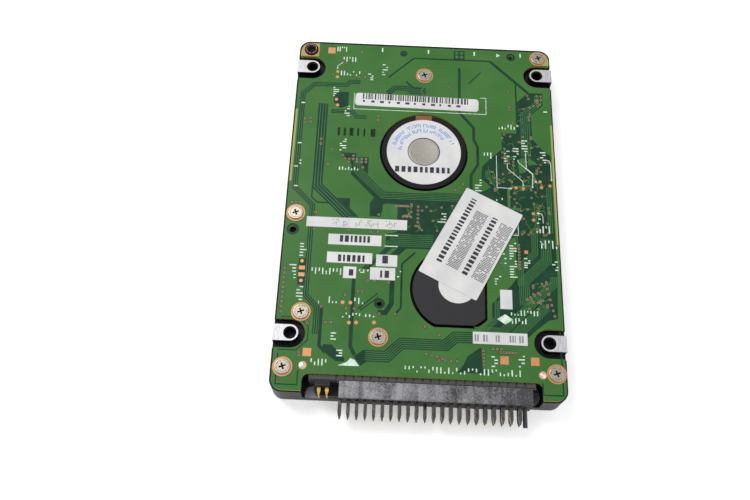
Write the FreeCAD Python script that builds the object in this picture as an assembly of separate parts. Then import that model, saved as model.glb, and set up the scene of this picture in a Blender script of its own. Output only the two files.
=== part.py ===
import FreeCAD, Part
import math
import os
from FreeCAD import Vector as V

# A 2.5-inch hard disk drive lying on its cover, circuit board up.  Millimetres.
# +X to the right and +Y away from the connector end, with the connector at -Y.
# The origin is the centre of the cover's outer face, and +Z points to the board.

# ---- driving dimensions -------------------------------------------------------------
body_width = 69.85
body_length = 100.0
body_height = 9.5
body_corner = 3.0
near = -body_length / 2
far = body_length / 2
side = body_width / 2
fit = 0.02                    # slip between pieces that do not move on each other
running = 0.03                # radial play of a turning fit

# cover
cover_thick = 0.4
cover_dish = 0.4              # how far the middle of the cover stands proud of its rim
cover_rim_width = 2.4
label_thick = 0.1
label_margin = 6.0
cover_rim = cover_dish + cover_thick
cover_screw_inset = 3.1
gasket_thick = 0.4
gasket_width = 0.75

# board and casting levels, counted down from the mounting plane
board_below_mount = 0.5
board_thick = 0.8
chip_room = 1.0
floor_thick = 0.7
board_top = body_height - board_below_mount
board_low = board_top - board_thick
recess_floor = board_low - chip_room
deck = recess_floor - floor_thick            # inner face of the casting's floor
rim_wall = 1.9
board_side_gap = 0.5
board_far_gap = 1.15
board_near_gap = 0.3
board_corner = 2.5

# mounting holes
mount_half_x = 30.86
mount_near = 14.0             # from the connector end
mount_far = 90.6
mount_tap_r = 1.25
mount_mouth_r = 1.6
mount_depth = 2.6
side_hole_drop = 3.0          # below the mounting plane
side_hole_depth = 2.3
lug_half = 2.0
notch_half = 3.6
notch_depth = 1.7

# spindle
spindle = (0.2, near + 65.2)
platter_r = 32.5
platter_thick = 0.635
platter_gap = 1.865
hub_r = 10.0
hub_flange_r = 12.2
hub_flange_thick = 0.7
disk_room = 0.6
clamp_thick = 0.6
shaft_r = 1.49
sleeve_r = 2.9
boss_r = 11.0
boss_opening_gap = 0.64
boss_wall = 1.0
boss_floor_thick = 0.8
boss_rise = 0.1               # boss face above the board
cap_r = 4.1
ring_label_r = 9.75
stator_r = 7.2
stator_thick = 1.4
stator_slots = 9
magnet_ring_wall = 1.1
air_gap = 0.3
skirt_wall = 0.75

# actuator
pivot = (9.05, near + 27.9)
arm_reach = 33.0
park_angle = 160.6
swing = 35.4
arm_thick = 0.6
arm_deck_gap = 0.44
fly_gap = 0.025
slider_thick = 0.3
spring_thick = 0.1
head_gap = fly_gap + slider_thick + spring_thick
pivot_shaft_r = 1.75
bearing_r = 3.3
cartridge_r = 4.0
hub_block_r = 5.4
coil_in = 9.2
coil_out = 18.4
coil_half = 14.0              # half angle of the coil's fan
coil_thick = 1.3
coil_band = 2.0
fork_rim = 0.7
yoke_in = 8.2
yoke_out = 19.9
yoke_thick = 0.95
yoke_cover_gap = 0.12
magnet_thick = 1.0
magnet_clear = 0.35
stop_r = 1.0
stop_reach = 16.5
yoke_post_r = 1.6

# second boss, over the pivot: a circle with two flats
pivot_boss = (8.3, near + 26.8)
pivot_boss_r = 10.25
pivot_boss_right = 15.65
pivot_boss_near = near + 17.7
pivot_boss_gap = 0.68
pivot_boss_corner = 2.3
pivot_boss_rise = 0.2
sticker_r = 4.7

# connector
bay_left = -27.3
bay_right = 29.0
bay_back = near + 4.5
bay_floor = 3.0
bay_corner = 1.5
pitch = 2.0
columns = 22
first_column = -18.2
key_column = 10
pin_half = 0.4
pin_point = 1.1                # length of the tapered tip
pin_blunt = 0.12               # half the width of the flat at its end
tail_half = 0.25
tail_shift = 0.5               # sideways step that keeps the two rows' tails apart
foot_thick = 0.2
pin_tip = near - 5.1
pin_rows = (body_height - 5.0, body_height - 3.0)
block_left = -18.5
block_right = 26.6
block_front = near - 0.9
block_back = near + 3.1
block_top = board_low + 0.4
strip_top = board_low + 0.15
tooth_depth = 0.3
foot_left = -24.4
foot_right = 28.8
foot_front = near + 0.2
foot_top = bay_floor + 2.0
jumper_columns = (-23.25, -21.35)
jumper_front = near + 2.0
jumper_tip = near - 0.2
tail_y = bay_back - 0.45

# cavity for the arm and the voice coil motor
cavity_side = 29.3
cavity_near = near + 5.4
cavity_corner = 5.0

screw_r = 1.0                 # M2 thread
board_head_r = 1.95
cover_head_r = 1.9
chamber_head_r = 1.5
mount_y = (near + mount_near, near + mount_far)
lower_platter_z = (deck - arm_deck_gap - arm_thick - head_gap - platter_thick,
                   deck - arm_deck_gap - arm_thick - head_gap)
upper_platter_z = (lower_platter_z[0] - platter_gap - platter_thick,
                   lower_platter_z[0] - platter_gap)
arm_levels = [(upper_platter_z[0] - head_gap - arm_thick, upper_platter_z[0] - head_gap),
              (upper_platter_z[1] + head_gap, lower_platter_z[0] - head_gap),
              (lower_platter_z[1] + head_gap, lower_platter_z[1] + head_gap + arm_thick)]
coil_mid = (arm_levels[1][0] + arm_levels[1][1]) / 2
boss_face = board_top + boss_rise
boss_floor = boss_face - boss_floor_thick
pivot_face = board_top + pivot_boss_rise
pivot_floor = pivot_face - 1.0
coil_park = park_angle - 180.0
coil_middle = coil_park - swing / 2


# ---- shape helpers ------------------------------------------------------------------
def cyl(x, y, r, z0, z1):
    """Upright cylinder."""
    return Part.makeCylinder(r, z1 - z0, V(x, y, z0))


def tube(x, y, r_in, r_out, z0, z1):
    """Upright ring of rectangular section."""
    return cyl(x, y, r_out, z0, z1).cut(cyl(x, y, r_in, z0 - 1, z1 + 1))


def block(x0, x1, y0, y1, z0, z1):
    """Box between two corners."""
    return Part.makeBox(x1 - x0, y1 - y0, z1 - z0, V(x0, y0, z0))


def rounded(x0, x1, y0, y1, z0, z1, r):
    """Box with its four upright edges rounded."""
    box = block(x0, x1, y0, y1, z0, z1)
    upright = [e for e in box.Edges if abs(e.tangentAt(e.FirstParameter).z) > 0.99]
    return box.makeFillet(r, upright)


def joined(shapes):
    """One solid from shapes that meet."""
    shapes = list(shapes)
    return shapes[0].multiFuse(shapes[1:]).removeSplitter()


def without(shape, cutters):
    """Shape with every cutter taken away."""
    return shape.cut(list(cutters))


def polar(centre, r, degrees):
    """Point at a distance and direction from a centre."""
    a = math.radians(degrees)
    return centre[0] + r * math.cos(a), centre[1] + r * math.sin(a)


def fan(centre, r_in, r_out, middle, half, z0, z1):
    """Sector of a ring between two radii, half an angle each side of its middle."""
    wedge = Part.makeCylinder(r_out, z1 - z0, V(*centre, z0), V(0, 0, 1), 2 * half)
    wedge.rotate(V(*centre, 0), V(0, 0, 1), middle - half)
    return wedge.cut(cyl(*centre, r_in, z0 - 1, z1 + 1))


def bar(start, end, half, z0, z1):
    """Flat bar with round ends between two points."""
    length = math.dist(start, end)
    turn = math.degrees(math.atan2(end[1] - start[1], end[0] - start[0]))
    middle = Part.makeBox(length, 2 * half, z1 - z0, V(0, -half, z0))
    middle.rotate(V(0, 0, 0), V(0, 0, 1), turn)
    middle.translate(V(*start, 0))
    return joined([middle, cyl(*start, half, z0, z1), cyl(*end, half, z0, z1)])


def turned(box, centre, degrees):
    """Copy of a shape turned about an upright axis."""
    copy = box.copy()
    copy.rotate(V(*centre, 0), V(0, 0, 1), degrees)
    return copy


def save(name, shapes):
    """One STEP file for a piece or for a group of like pieces."""
    shapes = shapes if isinstance(shapes, list) else [shapes]
    shape = shapes[0] if len(shapes) == 1 else Part.makeCompound(shapes)
    shape.exportStep("parts/" + name + ".step")


# ---- outlines that several pieces share ---------------------------------------------
def cavity(grow, z0, z1):
    """Room inside the casting: the round disk pocket and the actuator's bay."""
    r = platter_r + disk_room + grow
    bay = rounded(-cavity_side - grow, cavity_side + grow, cavity_near - grow,
                  spindle[1], z0, z1, cavity_corner + grow)
    disk = cyl(*spindle, r, z0, z1)
    filter_room = cyl(*filter_place(), filter_room_r + grow, z0, z1)
    return joined([disk, bay, filter_room])


filter_room_r = 4.2


def filter_place():
    """Centre of the recirculation filter, in the corner beside the disks."""
    return polar(spindle, platter_r + disk_room + 3.4, 134.0)


def pivot_boss_plan(grow, z0, z1):
    """The pivot boss's outline: a circle with a flat to the right and one in front."""
    centre_x, centre_y = pivot_boss
    r = pivot_boss_r + grow
    square = rounded(centre_x - r - 5, pivot_boss_right + grow, pivot_boss_near - grow,
                     centre_y + r + 5, z0, z1, pivot_boss_corner + grow)
    return cyl(centre_x, centre_y, r, z0, z1).common(square)


def lug_slot(half, sign, y, z0, z1):
    """Slot that runs from a mounting hole out past the body's side."""
    hole_x = sign * mount_half_x
    outer = sign * (side + half)
    return bar((hole_x, y), (outer, y), half, z0, z1)


def board_screw_places():
    """The eight screws that hold the board to the casting."""
    return [(-31.6, far - 3.4), (0.03, near + 89.4), (31.5, far - 3.4),
            (-32.0, near + 45.9), (-28.7, near + 19.5), (-9.9, near + 13.9),
            (-32.0, near + 5.8), (32.3, near + 6.7)]


def cover_screw_places():
    """Six screws along the cover's edge, and the one into the pivot shaft."""
    x = side - cover_screw_inset
    middle = spindle[1] - platter_r - 1.0
    edge = [(s * x, y) for s in (-1, 1)
            for y in (near + cover_screw_inset, middle, far - cover_screw_inset)]
    return edge + [pivot]


# ---- housing ------------------------------------------------------------------------
def base_casting():
    """Die-cast tub with the board recess, bosses, mounting lugs and connector bay."""
    body = rounded(-side, side, near, far, cover_rim, board_low, body_corner)
    recess = rounded(-side + rim_wall, side - rim_wall, bay_back + 0.9, far - rim_wall,
                     recess_floor, board_low + 1, body_corner)
    body = without(body, [cavity(0, cover_rim - 1, deck), recess])
    solid = [body]
    solid.append(cyl(*spindle, boss_r, deck, boss_face))
    solid.append(pivot_boss_plan(0, deck, pivot_face))
    solid += [cyl(x, y, 2.5, recess_floor - 0.1, board_low)
              for x, y in board_screw_places()]
    body = joined(solid)
    outline = rounded(-side, side, near, far, cover_rim, body_height + 1, body_corner)
    cutters = []
    lugs = []
    for y in mount_y:
        for sign in (-1, 1):
            cutters.append(lug_slot(notch_half, sign, y, board_low - notch_depth + 0.9,
                                    body_height + 1))
            lug = lug_slot(lug_half, sign, y, board_low - notch_depth, body_height)
            lugs.append(lug.common(outline))
    body = joined([without(body, cutters)] + lugs)
    return without(body, casting_holes())


def casting_holes():
    """Everything machined or cored out of the casting after its lugs are on."""
    cuts = []
    for y in mount_y:
        for sign in (-1, 1):
            x = sign * mount_half_x
            cuts.append(cyl(x, y, mount_tap_r, body_height - mount_depth, body_height + 1))
            cone = mount_mouth_r - mount_tap_r
            cuts.append(Part.makeCone(mount_tap_r, mount_mouth_r, cone,
                                      V(x, y, body_height - cone)))
            cuts.append(Part.makeCylinder(mount_tap_r, side_hole_depth + 1,
                        V(sign * (side + 1), y, body_height - side_hole_drop),
                        V(-sign, 0, 0)))
    cuts.append(rounded(bay_left, bay_right, near - 4, bay_back, bay_floor, board_top,
                        bay_corner))
    cuts.append(block(foot_left - 0.1, block_right + 0.4, bay_back - 1, bay_back + 1.4,
                      board_low - 0.35, board_low + 1))
    cuts.append(cyl(*spindle, boss_r - boss_wall, deck - 1, boss_floor))
    cuts.append(cyl(*spindle, cap_r + fit, boss_face - 0.35, boss_face + 1))
    cuts.append(cyl(*spindle, sleeve_r + fit, boss_floor - 1, boss_face))
    cuts.append(pivot_boss_plan(-1.2, deck - 1, pivot_floor))
    cuts.append(cyl(*pivot, screw_r + fit, pivot_floor - 1, pivot_face + 1))
    cuts.append(cyl(*pivot, 2.2, pivot_face - 0.55, pivot_face + 1))
    cuts += [cyl(x, y, screw_r + fit, board_low - board_screw_depth(), board_low + 1)
             for x, y in board_screw_places()]
    cuts += [cyl(x, y, screw_r + fit, cover_rim - 1, cover_rim + 2.6)
             for x, y in cover_screw_places()[:-1]]
    cuts.append(cavity(gasket_width, cover_rim - 1, cover_rim + gasket_thick))
    cuts.append(head_connector_shape(0.15, deck - 1, board_low + 1))
    cuts.append(motor_flex_slot())
    return cuts


def board_screw_depth():
    """How far a board screw reaches into its boss, short of the disk chamber."""
    return chip_room + floor_thick - 0.3


def motor_flex_slot():
    """Shallow channel that lets the motor's ribbon pass from its boss to the board."""
    x, y = spindle
    return joined([block(x - 2.4, x + 2.1, y + boss_r - 1.9, y + boss_r + 1, boss_face - 0.12,
                         boss_face + 1),
                   block(x - 2.4, x + 2.1, y + boss_r - 0.15, y + boss_r + 1, recess_floor,
                         boss_face + 1)])


def cover_dish_plan(grow, z0, z1):
    """The raised middle of the cover, clear of its rim and of the screws."""
    inset = cover_rim_width - grow
    plan = rounded(-side + inset, side - inset, near + inset, far - inset, z0, z1,
                   body_corner + 1.0)
    hollows = [cyl(x, y, 3.3 - grow, z0 - 1, z1 + 1) for x, y in cover_screw_places()]
    return without(plan, hollows)


def top_cover():
    """Stamped cover with a raised middle, screw seats, breather hole and label recess."""
    rim = rounded(-side, side, near, far, cover_dish, cover_rim, body_corner)
    raised = cover_dish_plan(0, 0, cover_rim)
    cover = joined([rim, raised])
    inner = cover_dish_plan(-cover_thick, cover_thick, cover_rim + 1)
    cuts = [inner, label_plan(fit, -1, label_thick)]
    cuts += [cyl(x, y, screw_r + 0.1, -1, cover_rim + 1) for x, y in cover_screw_places()]
    cuts.append(cyl(*breather_place(), 0.6, -1, cover_rim + 1))
    return without(cover, cuts)


def breather_place():
    """Centre of the breather hole and of the filter under it."""
    return -18.0, near + 13.0


def label_plan(grow, z0, z1):
    """The label's outline: a rounded rectangle that leaves the pivot screw free."""
    edge = label_margin - grow
    plan = rounded(-side + edge, side - edge, near + edge, far - edge, z0, z1, 2.0 + grow)
    screws = [cyl(x, y, 4.4 - grow, z0 - 1, z1 + 1) for x, y in cover_screw_places()]
    return without(plan, screws + [cyl(*breather_place(), 2.0 - grow, z0 - 1, z1 + 1)])


def cover_gasket():
    """Rubber seal in the step round the chamber."""
    z0 = cover_rim
    z1 = cover_rim + gasket_thick
    return without(cavity(gasket_width - fit, z0, z1), [cavity(fit, z0 - 1, z1 + 1)])


def screw(x, y, seat, up, head_r, head_h, length, slots, slot_long):
    """Screw with a rounded head on its seat; up is the side that the head is on."""
    head = cyl(x, y, head_r, 0, head_h)
    top = [e for e in head.Edges if abs(e.BoundBox.ZMin - head_h) < 1e-6
           and e.BoundBox.ZMax < head_h + 1e-6 and len(e.Vertexes) == 1]
    head = head.makeFillet(head_h * 0.55, top)
    shank = cyl(x, y, screw_r - fit, -length, 0.1)
    whole = joined([head, shank])
    for k in range(slots):
        cut = block(x - slot_long / 2, x + slot_long / 2, y - 0.22, y + 0.22,
                    head_h * 0.35, head_h + 1)
        whole = whole.cut(turned(cut, (x, y), 20 + k * 180.0 / slots))
    if not up:
        whole = whole.mirror(V(0, 0, 0), V(0, 0, 1))
    whole.translate(V(0, 0, seat))
    return whole


def cover_screws():
    """Six-lobe screws along the cover and into the pivot shaft."""
    return [screw(x, y, cover_dish, False, cover_head_r, 0.38, cover_thick + 1.9, 3, 1.9)
            for x, y in cover_screw_places()]


def board_screws():
    """Cross-recess screws that hold the board."""
    length = board_thick + board_screw_depth() - 0.15
    return [screw(x, y, board_top, True, board_head_r, 0.42, length, 2, 1.7)
            for x, y in board_screw_places()]


# ---- circuit board and what is on it ------------------------------------------------
def circuit_board():
    """Glass-fibre board cut out for the lugs, both bosses and the connector."""
    z0, z1 = board_low, board_top
    board = rounded(-side + board_side_gap, side - board_side_gap, near + board_near_gap,
                    far - board_far_gap, z0, z1, board_corner)
    cuts = [cyl(*spindle, boss_r + boss_opening_gap, z0 - 1, z1 + 1),
            pivot_boss_plan(pivot_boss_gap, z0 - 1, z1 + 1),
            rounded(bay_left, bay_right, near - 4, bay_back, z0 - 1, z1 + 1, bay_corner)]
    cuts += [lug_slot(notch_half, sign, y, z0 - 1, z1 + 1)
             for y in mount_y for sign in (-1, 1)]
    cuts += [cyl(x, y, screw_r + 0.1, z0 - 1, z1 + 1) for x, y in board_screw_places()]
    cuts += [cyl(x, y, r, z0 - 1, z1 + 1) for x, y, r in board_hole_places()]
    return without(board, cuts)


def board_hole_places():
    """Plain through holes in the board: place and radius."""
    return [(-32.4, near + 41.3, 0.95), (0.2, near + 45.9, 1.1), (-9.9, near + 22.4, 0.7),
            (23.95, far - 3.2, 0.6), (-5.85, far - 3.5, 0.35)]


def insulator_sheet():
    """Black film between the casting and the chips."""
    z0, z1 = recess_floor, recess_floor + 0.06
    sheet = rounded(-side + rim_wall + 0.3, side - rim_wall - 0.3, bay_back + 1.2,
                    far - rim_wall - 0.3, z0, z1, body_corner)
    cuts = [cyl(*spindle, boss_r + 0.4, z0 - 1, z1 + 1),
            pivot_boss_plan(0.4, z0 - 1, z1 + 1),
            head_connector_shape(0.4, z0 - 1, z1 + 1),
            block(spindle[0] - 3, spindle[0] + 3, spindle[1] + boss_r, spindle[1] + boss_r + 6,
                  z0 - 1, z1 + 1)]
    cuts += [lug_slot(notch_half + 0.3, sign, y, z0 - 1, z1 + 1)
             for y in mount_y for sign in (-1, 1)]
    cuts += [cyl(x, y, 2.8, z0 - 1, z1 + 1) for x, y in board_screw_places()]
    return without(sheet, cuts)


def chip(x, y, wide, long, thick, leads, sides):
    """Flat package soldered under the board, with a row of leads on its sides."""
    z1 = board_low
    z0 = z1 - thick
    body = block(x - wide / 2, x + wide / 2, y - long / 2, y + long / 2, z0, z1 - 0.08)
    feet = []
    for n in range(leads):
        step = (n - (leads - 1) / 2)
        if "x" in sides:
            place = y + step * (long - 1.2) / leads
            feet.append(block(x - wide / 2 - 0.7, x + wide / 2 + 0.7, place - 0.12,
                              place + 0.12, z1 - 0.2, z1))
        if "y" in sides:
            place = x + step * (wide - 1.2) / leads
            feet.append(block(place - 0.12, place + 0.12, y - long / 2 - 0.7,
                              y + long / 2 + 0.7, z1 - 0.2, z1))
    return joined([body] + feet)


def board_capacitors():
    """Small ceramic capacitors beside the motor driver."""
    return [block(17.0 + k * 2.2, 18.2 + k * 2.2, near + 58.0, near + 60.0,
                  board_low - 0.7, board_low) for k in range(6)]


def crystal():
    """Metal can of the clock crystal."""
    x, y = -24.0, near + 26.0
    return rounded(x - 2.5, x + 2.5, y - 1.6, y + 1.6, board_low - 0.8, board_low, 0.6)


def labels():
    """Paper labels on the board: a bar label, a strip, number labels and small tags."""
    z0, z1 = board_top, board_top + 0.06
    bars = rounded(-18.6, 14.8, near + 78.6, near + 82.6, z0, z1, 0.9)
    save("bar_label", turned(bars, (-1.9, near + 80.6), -1.0))
    rows = [(-29.1, -3.7, 42.2, 45.0), (-23.3, -10.0, 37.5, 40.4),
            (-23.35, -12.1, 32.6, 35.5), (-11.15, -5.9, 32.1, 35.25),
            (-19.1, -15.9, 28.6, 31.7), (-12.5, -6.3, 28.5, 31.75),
            (12.65, 25.7, 13.3, 16.3), (19.4, 22.35, 22.3, 27.3)]
    save("number_labels", [block(x0, x1, near + y0, near + y1, z0, z1)
                           for x0, x1, y0, y1 in rows])


def service_label():
    """Large slanted label laid over the board and the pivot boss."""
    z0 = pivot_face + sticker_thick
    wide, long = 16.0, 26.6
    x, y = 12.5, near + 39.5
    sheet = rounded(x - wide / 2, x + wide / 2, y - long / 2, y + long / 2, z0, z0 + 0.07, 0.4)
    return turned(sheet, (x, y), -27.2)


sticker_thick = 0.05


def pivot_sticker():
    """Round seal over the pivot screw."""
    return cyl(*pivot, sticker_r, pivot_face, pivot_face + sticker_thick)


# ---- connector ----------------------------------------------------------------------
def contact(x, row, tip, back):
    """Square contact: pointed tip, straight run, riser and solder foot at the board."""
    z = pin_rows[row]
    run = block(x - pin_half, x + pin_half, tip + pin_point, back, z - pin_half, z + pin_half)
    point = Part.makeWedge(x - pin_blunt, tip, z - pin_blunt, z - pin_half, x - pin_half,
                           x + pin_blunt, tip + pin_point, z + pin_blunt, z + pin_half,
                           x + pin_half)
    side = x + (tail_shift if row == 0 else -tail_shift)
    riser = block(side - tail_half, side + tail_half, back - 2 * tail_half, back, z, board_low)
    foot = block(side - tail_half, side + tail_half, back - tail_half, bay_back + 1.0,
                 board_low - foot_thick, board_low)
    return joined([point, run, riser, foot])


def connector_contacts():
    """Two rows of twenty-two contacts, with the key place left out."""
    pins = []
    for k in range(columns):
        for row in (0, 1):
            if k == key_column and row == 1:
                continue
            shift = 0.0 if row == 0 else -0.9
            pins.append(contact(first_column + k * pitch, row, pin_tip, tail_y + shift))
    return pins


def jumper_contacts():
    """Four short contacts beside the main rows."""
    return [contact(x, row, jumper_tip, tail_y - 0.9 * row)
            for x in jumper_columns for row in (0, 1)]


def connector_housing(contacts):
    """Moulded block with a foot, a rear strip and a small block for the jumper pins."""
    foot = rounded(foot_left, foot_right, foot_front, bay_back - 0.1, bay_floor + fit,
                   foot_top, bay_corner)
    main = block(block_left, block_right, block_front, block_back, bay_floor + fit, block_top)
    front = [e for e in main.Edges if e.BoundBox.YMax < block_front + 1e-6
             and e.BoundBox.ZMin > block_top - 1e-6]
    main = main.makeChamfer(0.25, front)
    strip = block(bay_left + bay_corner + 0.1, bay_right - bay_corner - 0.1, block_back - 0.1,
                  bay_back - 0.1, bay_floor + fit, strip_top)
    tower = block(jumper_columns[0] - 0.95, jumper_columns[1] + 0.65, jumper_front,
                  bay_back - 0.1, bay_floor + fit, strip_top)
    post = Part.makeCylinder(0.55, 4.4, V(block_right - 1.3, block_front + 0.1, pin_rows[0]),
                             V(0, -1, 0))
    body = joined([foot, main, strip, tower, post])
    teeth = [block(first_column + (k + 0.5) * pitch - 0.35, first_column + (k + 0.5) * pitch
                   + 0.35, block_back, bay_back, strip_top - tooth_depth, strip_top + 1)
             for k in range(-1, columns)]
    return without(body, teeth + contacts)


# ---- spindle motor and disks --------------------------------------------------------
sleeve_top = lower_platter_z[0] - 0.6
stator_z = (boss_floor - 0.35 - stator_thick, boss_floor - 0.35)
skirt_in = stator_r + air_gap + magnet_ring_wall
hub_top = upper_platter_z[0] + 0.06


def bearing_sleeve():
    """Fixed sleeve of the fluid bearing, pressed into the casting."""
    return tube(*spindle, shaft_r + running, sleeve_r, sleeve_top, boss_face - 0.36)


def motor_cap():
    """Dished steel cap that closes the bearing's outer end."""
    z1 = boss_face + 0.12
    cap = cyl(*spindle, cap_r, boss_face - 0.34, z1)
    rim = [e for e in cap.Edges if e.BoundBox.ZMin > z1 - 1e-6]
    cap = cap.makeFillet(0.2, rim)
    dish = Part.makeSphere(40.0, V(*spindle, z1 + 40.0 - 0.16))
    return cap.cut(dish)


def stator_core():
    """Laminated star that carries the windings, on the casting's inner collar."""
    z0, z1 = stator_z
    collar = tube(*spindle, sleeve_r + fit, 4.0, z0, z1 + 0.35)
    teeth = []
    for k in range(stator_slots):
        angle = k * 360.0 / stator_slots
        tooth = bar(polar(spindle, 3.6, angle), polar(spindle, stator_r - 0.8, angle), 0.45,
                    z0 + 0.45, z1 - 0.45)
        teeth.append(tooth)
        teeth.append(fan(spindle, stator_r - 0.7, stator_r, angle, 15.0, z0 + 0.4, z1 - 0.4))
    return joined([collar] + teeth)


def stator_coils(core):
    """Copper windings round the star's teeth."""
    z0, z1 = stator_z
    coils = []
    for k in range(stator_slots):
        start = spindle[0] + 4.1
        coil = block(start, spindle[0] + stator_r - 0.75, spindle[1] - 0.95,
                     spindle[1] + 0.95, z0 + 0.05, z1 - 0.05)
        coil = turned(coil, spindle, k * 360.0 / stator_slots)
        coils.append(coil.cut(core))
    return coils


def rotor_hub():
    """Aluminium hub: disk seat, flange and the skirt that carries the ring magnet."""
    seat = cyl(*spindle, hub_r - fit, hub_top, lower_platter_z[1])
    flange = cyl(*spindle, hub_flange_r, lower_platter_z[1], lower_platter_z[1]
                 + hub_flange_thick)
    skirt = cyl(*spindle, skirt_in + skirt_wall, lower_platter_z[1], stator_z[1] + 0.1)
    hub = joined([seat, flange, skirt])
    hollow = cyl(*spindle, skirt_in, sleeve_top - 0.3, body_height)
    return without(hub, [hollow, cyl(*spindle, shaft_r, hub_top - 1, body_height)])


def spindle_shaft():
    """Hardened shaft pressed into the hub, turning in the sleeve."""
    shaft = cyl(*spindle, shaft_r, hub_top, boss_face - 0.45)
    return shaft.cut(cyl(*spindle, screw_r - 0.1 + fit, hub_top - 1, hub_top + 1.5))


def rotor_magnet():
    """Ring magnet inside the hub's skirt."""
    return tube(*spindle, stator_r + air_gap, skirt_in, stator_z[0] - 0.1, stator_z[1])


def platter(levels):
    """One polished disk with small bevels on its rim."""
    disk = tube(*spindle, hub_r, platter_r, *levels)
    rim = [e for e in disk.Edges if abs(e.BoundBox.XLength - 2 * platter_r) < 0.5]
    return disk.makeChamfer(0.12, rim)


def disk_clamp():
    """Spring clamp over the disks, pressed down by one screw."""
    z1 = upper_platter_z[0]
    plate = cyl(*spindle, hub_flange_r, z1 - clamp_thick, z1)
    holes = [cyl(*polar(spindle, 7.5, 60.0 * k), 0.8, 0, z1 + 1) for k in range(6)]
    relief = tube(*spindle, 3.2, hub_flange_r - 1.2, z1 - 0.25, z1 + 1)
    return without(plate, holes + [relief, cyl(*spindle, screw_r, 0, z1 + 1)])


def clamp_screw():
    """Screw that holds the disk clamp to the shaft."""
    seat = upper_platter_z[0] - clamp_thick
    x, y = spindle
    head = cyl(x, y, 2.6, seat - 0.45, seat)
    shank = cyl(x, y, screw_r - 0.1, seat - 0.1, seat + clamp_thick + 1.3)
    recess = [turned(block(x - 1.2, x + 1.2, y - 0.25, y + 0.25, 0, seat - 0.2), spindle, 60 * k)
              for k in range(3)]
    return without(joined([head, shank]), recess)


def motor_flex():
    """Amber ribbon from the motor, over its boss and down under the board."""
    x, y = spindle
    wide = (x - 2.3, x + 2.0)
    edge = y + boss_r
    top = block(*wide, edge - 1.8, edge + 0.1, boss_face - 0.1, boss_face)
    drop = block(*wide, edge, edge + 0.1, board_low - 0.3, boss_face)
    run = block(*wide, edge, edge + 5.2, board_low - 0.3, board_low - 0.2)
    pad = block(*wide, edge + 3.0, edge + 5.2, board_low - 0.2, board_low)
    return joined([top, drop, run, pad])


def motor_label():
    """Ring label on the motor boss."""
    return tube(*spindle, cap_r + 0.15, ring_label_r, boss_face, boss_face + 0.06)


# ---- actuator -----------------------------------------------------------------------
hub_low = arm_levels[0][1] - 0.2
hub_high = pivot_floor - 0.35
coil_z = (coil_mid - coil_thick / 2, coil_mid + coil_thick / 2)
post_places = [(-80.0, 20.0), (14.0, 17.0)]
fork_half = coil_half + 3.5
stop_clear = math.degrees(math.asin(stop_r / stop_reach)) + 0.5
stop_angles = (coil_park + fork_half + stop_clear, coil_park - swing - fork_half - stop_clear)
lower_yoke_z = (deck - yoke_thick, deck)
lower_magnet_z = (coil_z[1] + magnet_clear, lower_yoke_z[0])
upper_magnet_z = (coil_z[0] - magnet_clear - magnet_thick + 0.1, coil_z[0] - magnet_clear)
upper_yoke_z = (cover_rim + yoke_cover_gap, upper_magnet_z[0])


def arm_block():
    """Machined comb of three arms on a hub that turns about the pivot."""
    parts = [cyl(*pivot, hub_block_r, hub_low, hub_high)]
    tip = polar(pivot, arm_reach - 10.0, park_angle)
    for z0, z1 in arm_levels:
        wide = fan(pivot, cartridge_r + 0.3, hub_block_r + 5.0, park_angle, 25.0, z0, z1)
        narrow = bar(polar(pivot, hub_block_r + 1.0, park_angle), tip, 2.4, z0, z1)
        parts += [wide, narrow]
    for sign in (-1, 1):
        start = polar(pivot, 4.5, coil_park + sign * 20.0)
        parts.append(bar(start, polar(pivot, coil_in - 1.2, coil_park + sign * 20.0), 1.0,
                         *coil_z))
    whole = joined(parts)
    cuts = [cyl(*pivot, cartridge_r, 0, body_height)]
    for z0, z1 in arm_levels:
        for reach in (13.5, 18.0):
            cuts.append(cyl(*polar(pivot, reach, park_angle), 1.3, z0 - 0.1, z1 + 0.1))
    cuts.append(fan(pivot, coil_in - 1.2, coil_out + 3.0, coil_park, 40.0, 0, body_height))
    return without(whole, cuts)


def coil_fork():
    """Moulded frame that holds the coil, with the hook that the latch catches."""
    z0, z1 = coil_z
    frame = fan(pivot, coil_in - 1.2, coil_out + fork_rim, coil_park, fork_half, z0, z1)
    coil_room = fan(pivot, coil_in, coil_out, coil_park, coil_half, z0 - 1, z1 + 1)
    hook = fan(pivot, coil_out, coil_out + fork_rim + 1.1, coil_park - 12.0, 2.4, z0, z1)
    return without(joined([frame, hook]), [coil_room])


def voice_coil():
    """Flat wound copper coil in the fork."""
    z0, z1 = coil_z
    outer = fan(pivot, coil_in, coil_out, coil_park, coil_half, z0, z1)
    middle_r = (coil_in + coil_out) / 2
    half = coil_half - math.degrees(coil_band / middle_r)
    return outer.cut(fan(pivot, coil_in + coil_band, coil_out - coil_band, coil_park, half,
                         z0 - 1, z1 + 1))


def pivot_cartridge():
    """Bearing cartridge: outer sleeve, two bearings and the shaft fixed to the casting."""
    save("pivot_sleeve", tube(*pivot, bearing_r, cartridge_r, hub_low + 0.1, hub_high - 0.1))
    race = 1.6
    rings = [(hub_low + 0.2, hub_low + 0.2 + race), (hub_high - 0.2 - race, hub_high - 0.2)]
    save("pivot_bearings", [tube(*pivot, pivot_shaft_r + running, bearing_r, *z) for z in rings])
    shaft = joined([cyl(*pivot, pivot_shaft_r, cover_rim, pivot_floor),
                    cyl(*pivot, pivot_shaft_r + 0.8, hub_high + 0.15, pivot_floor)])
    holes = [cyl(*pivot, screw_r + fit, 0, cover_rim + 2.2),
             cyl(*pivot, screw_r + fit, pivot_floor - 2.4, body_height)]
    save("pivot_shaft", without(shaft, holes))


def pivot_screw():
    """Screw through the casting's floor into the pivot shaft."""
    return screw(*pivot, pivot_face - 0.55, True, 2.1, 0.5, 2.4, 2, 2.4)


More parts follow.
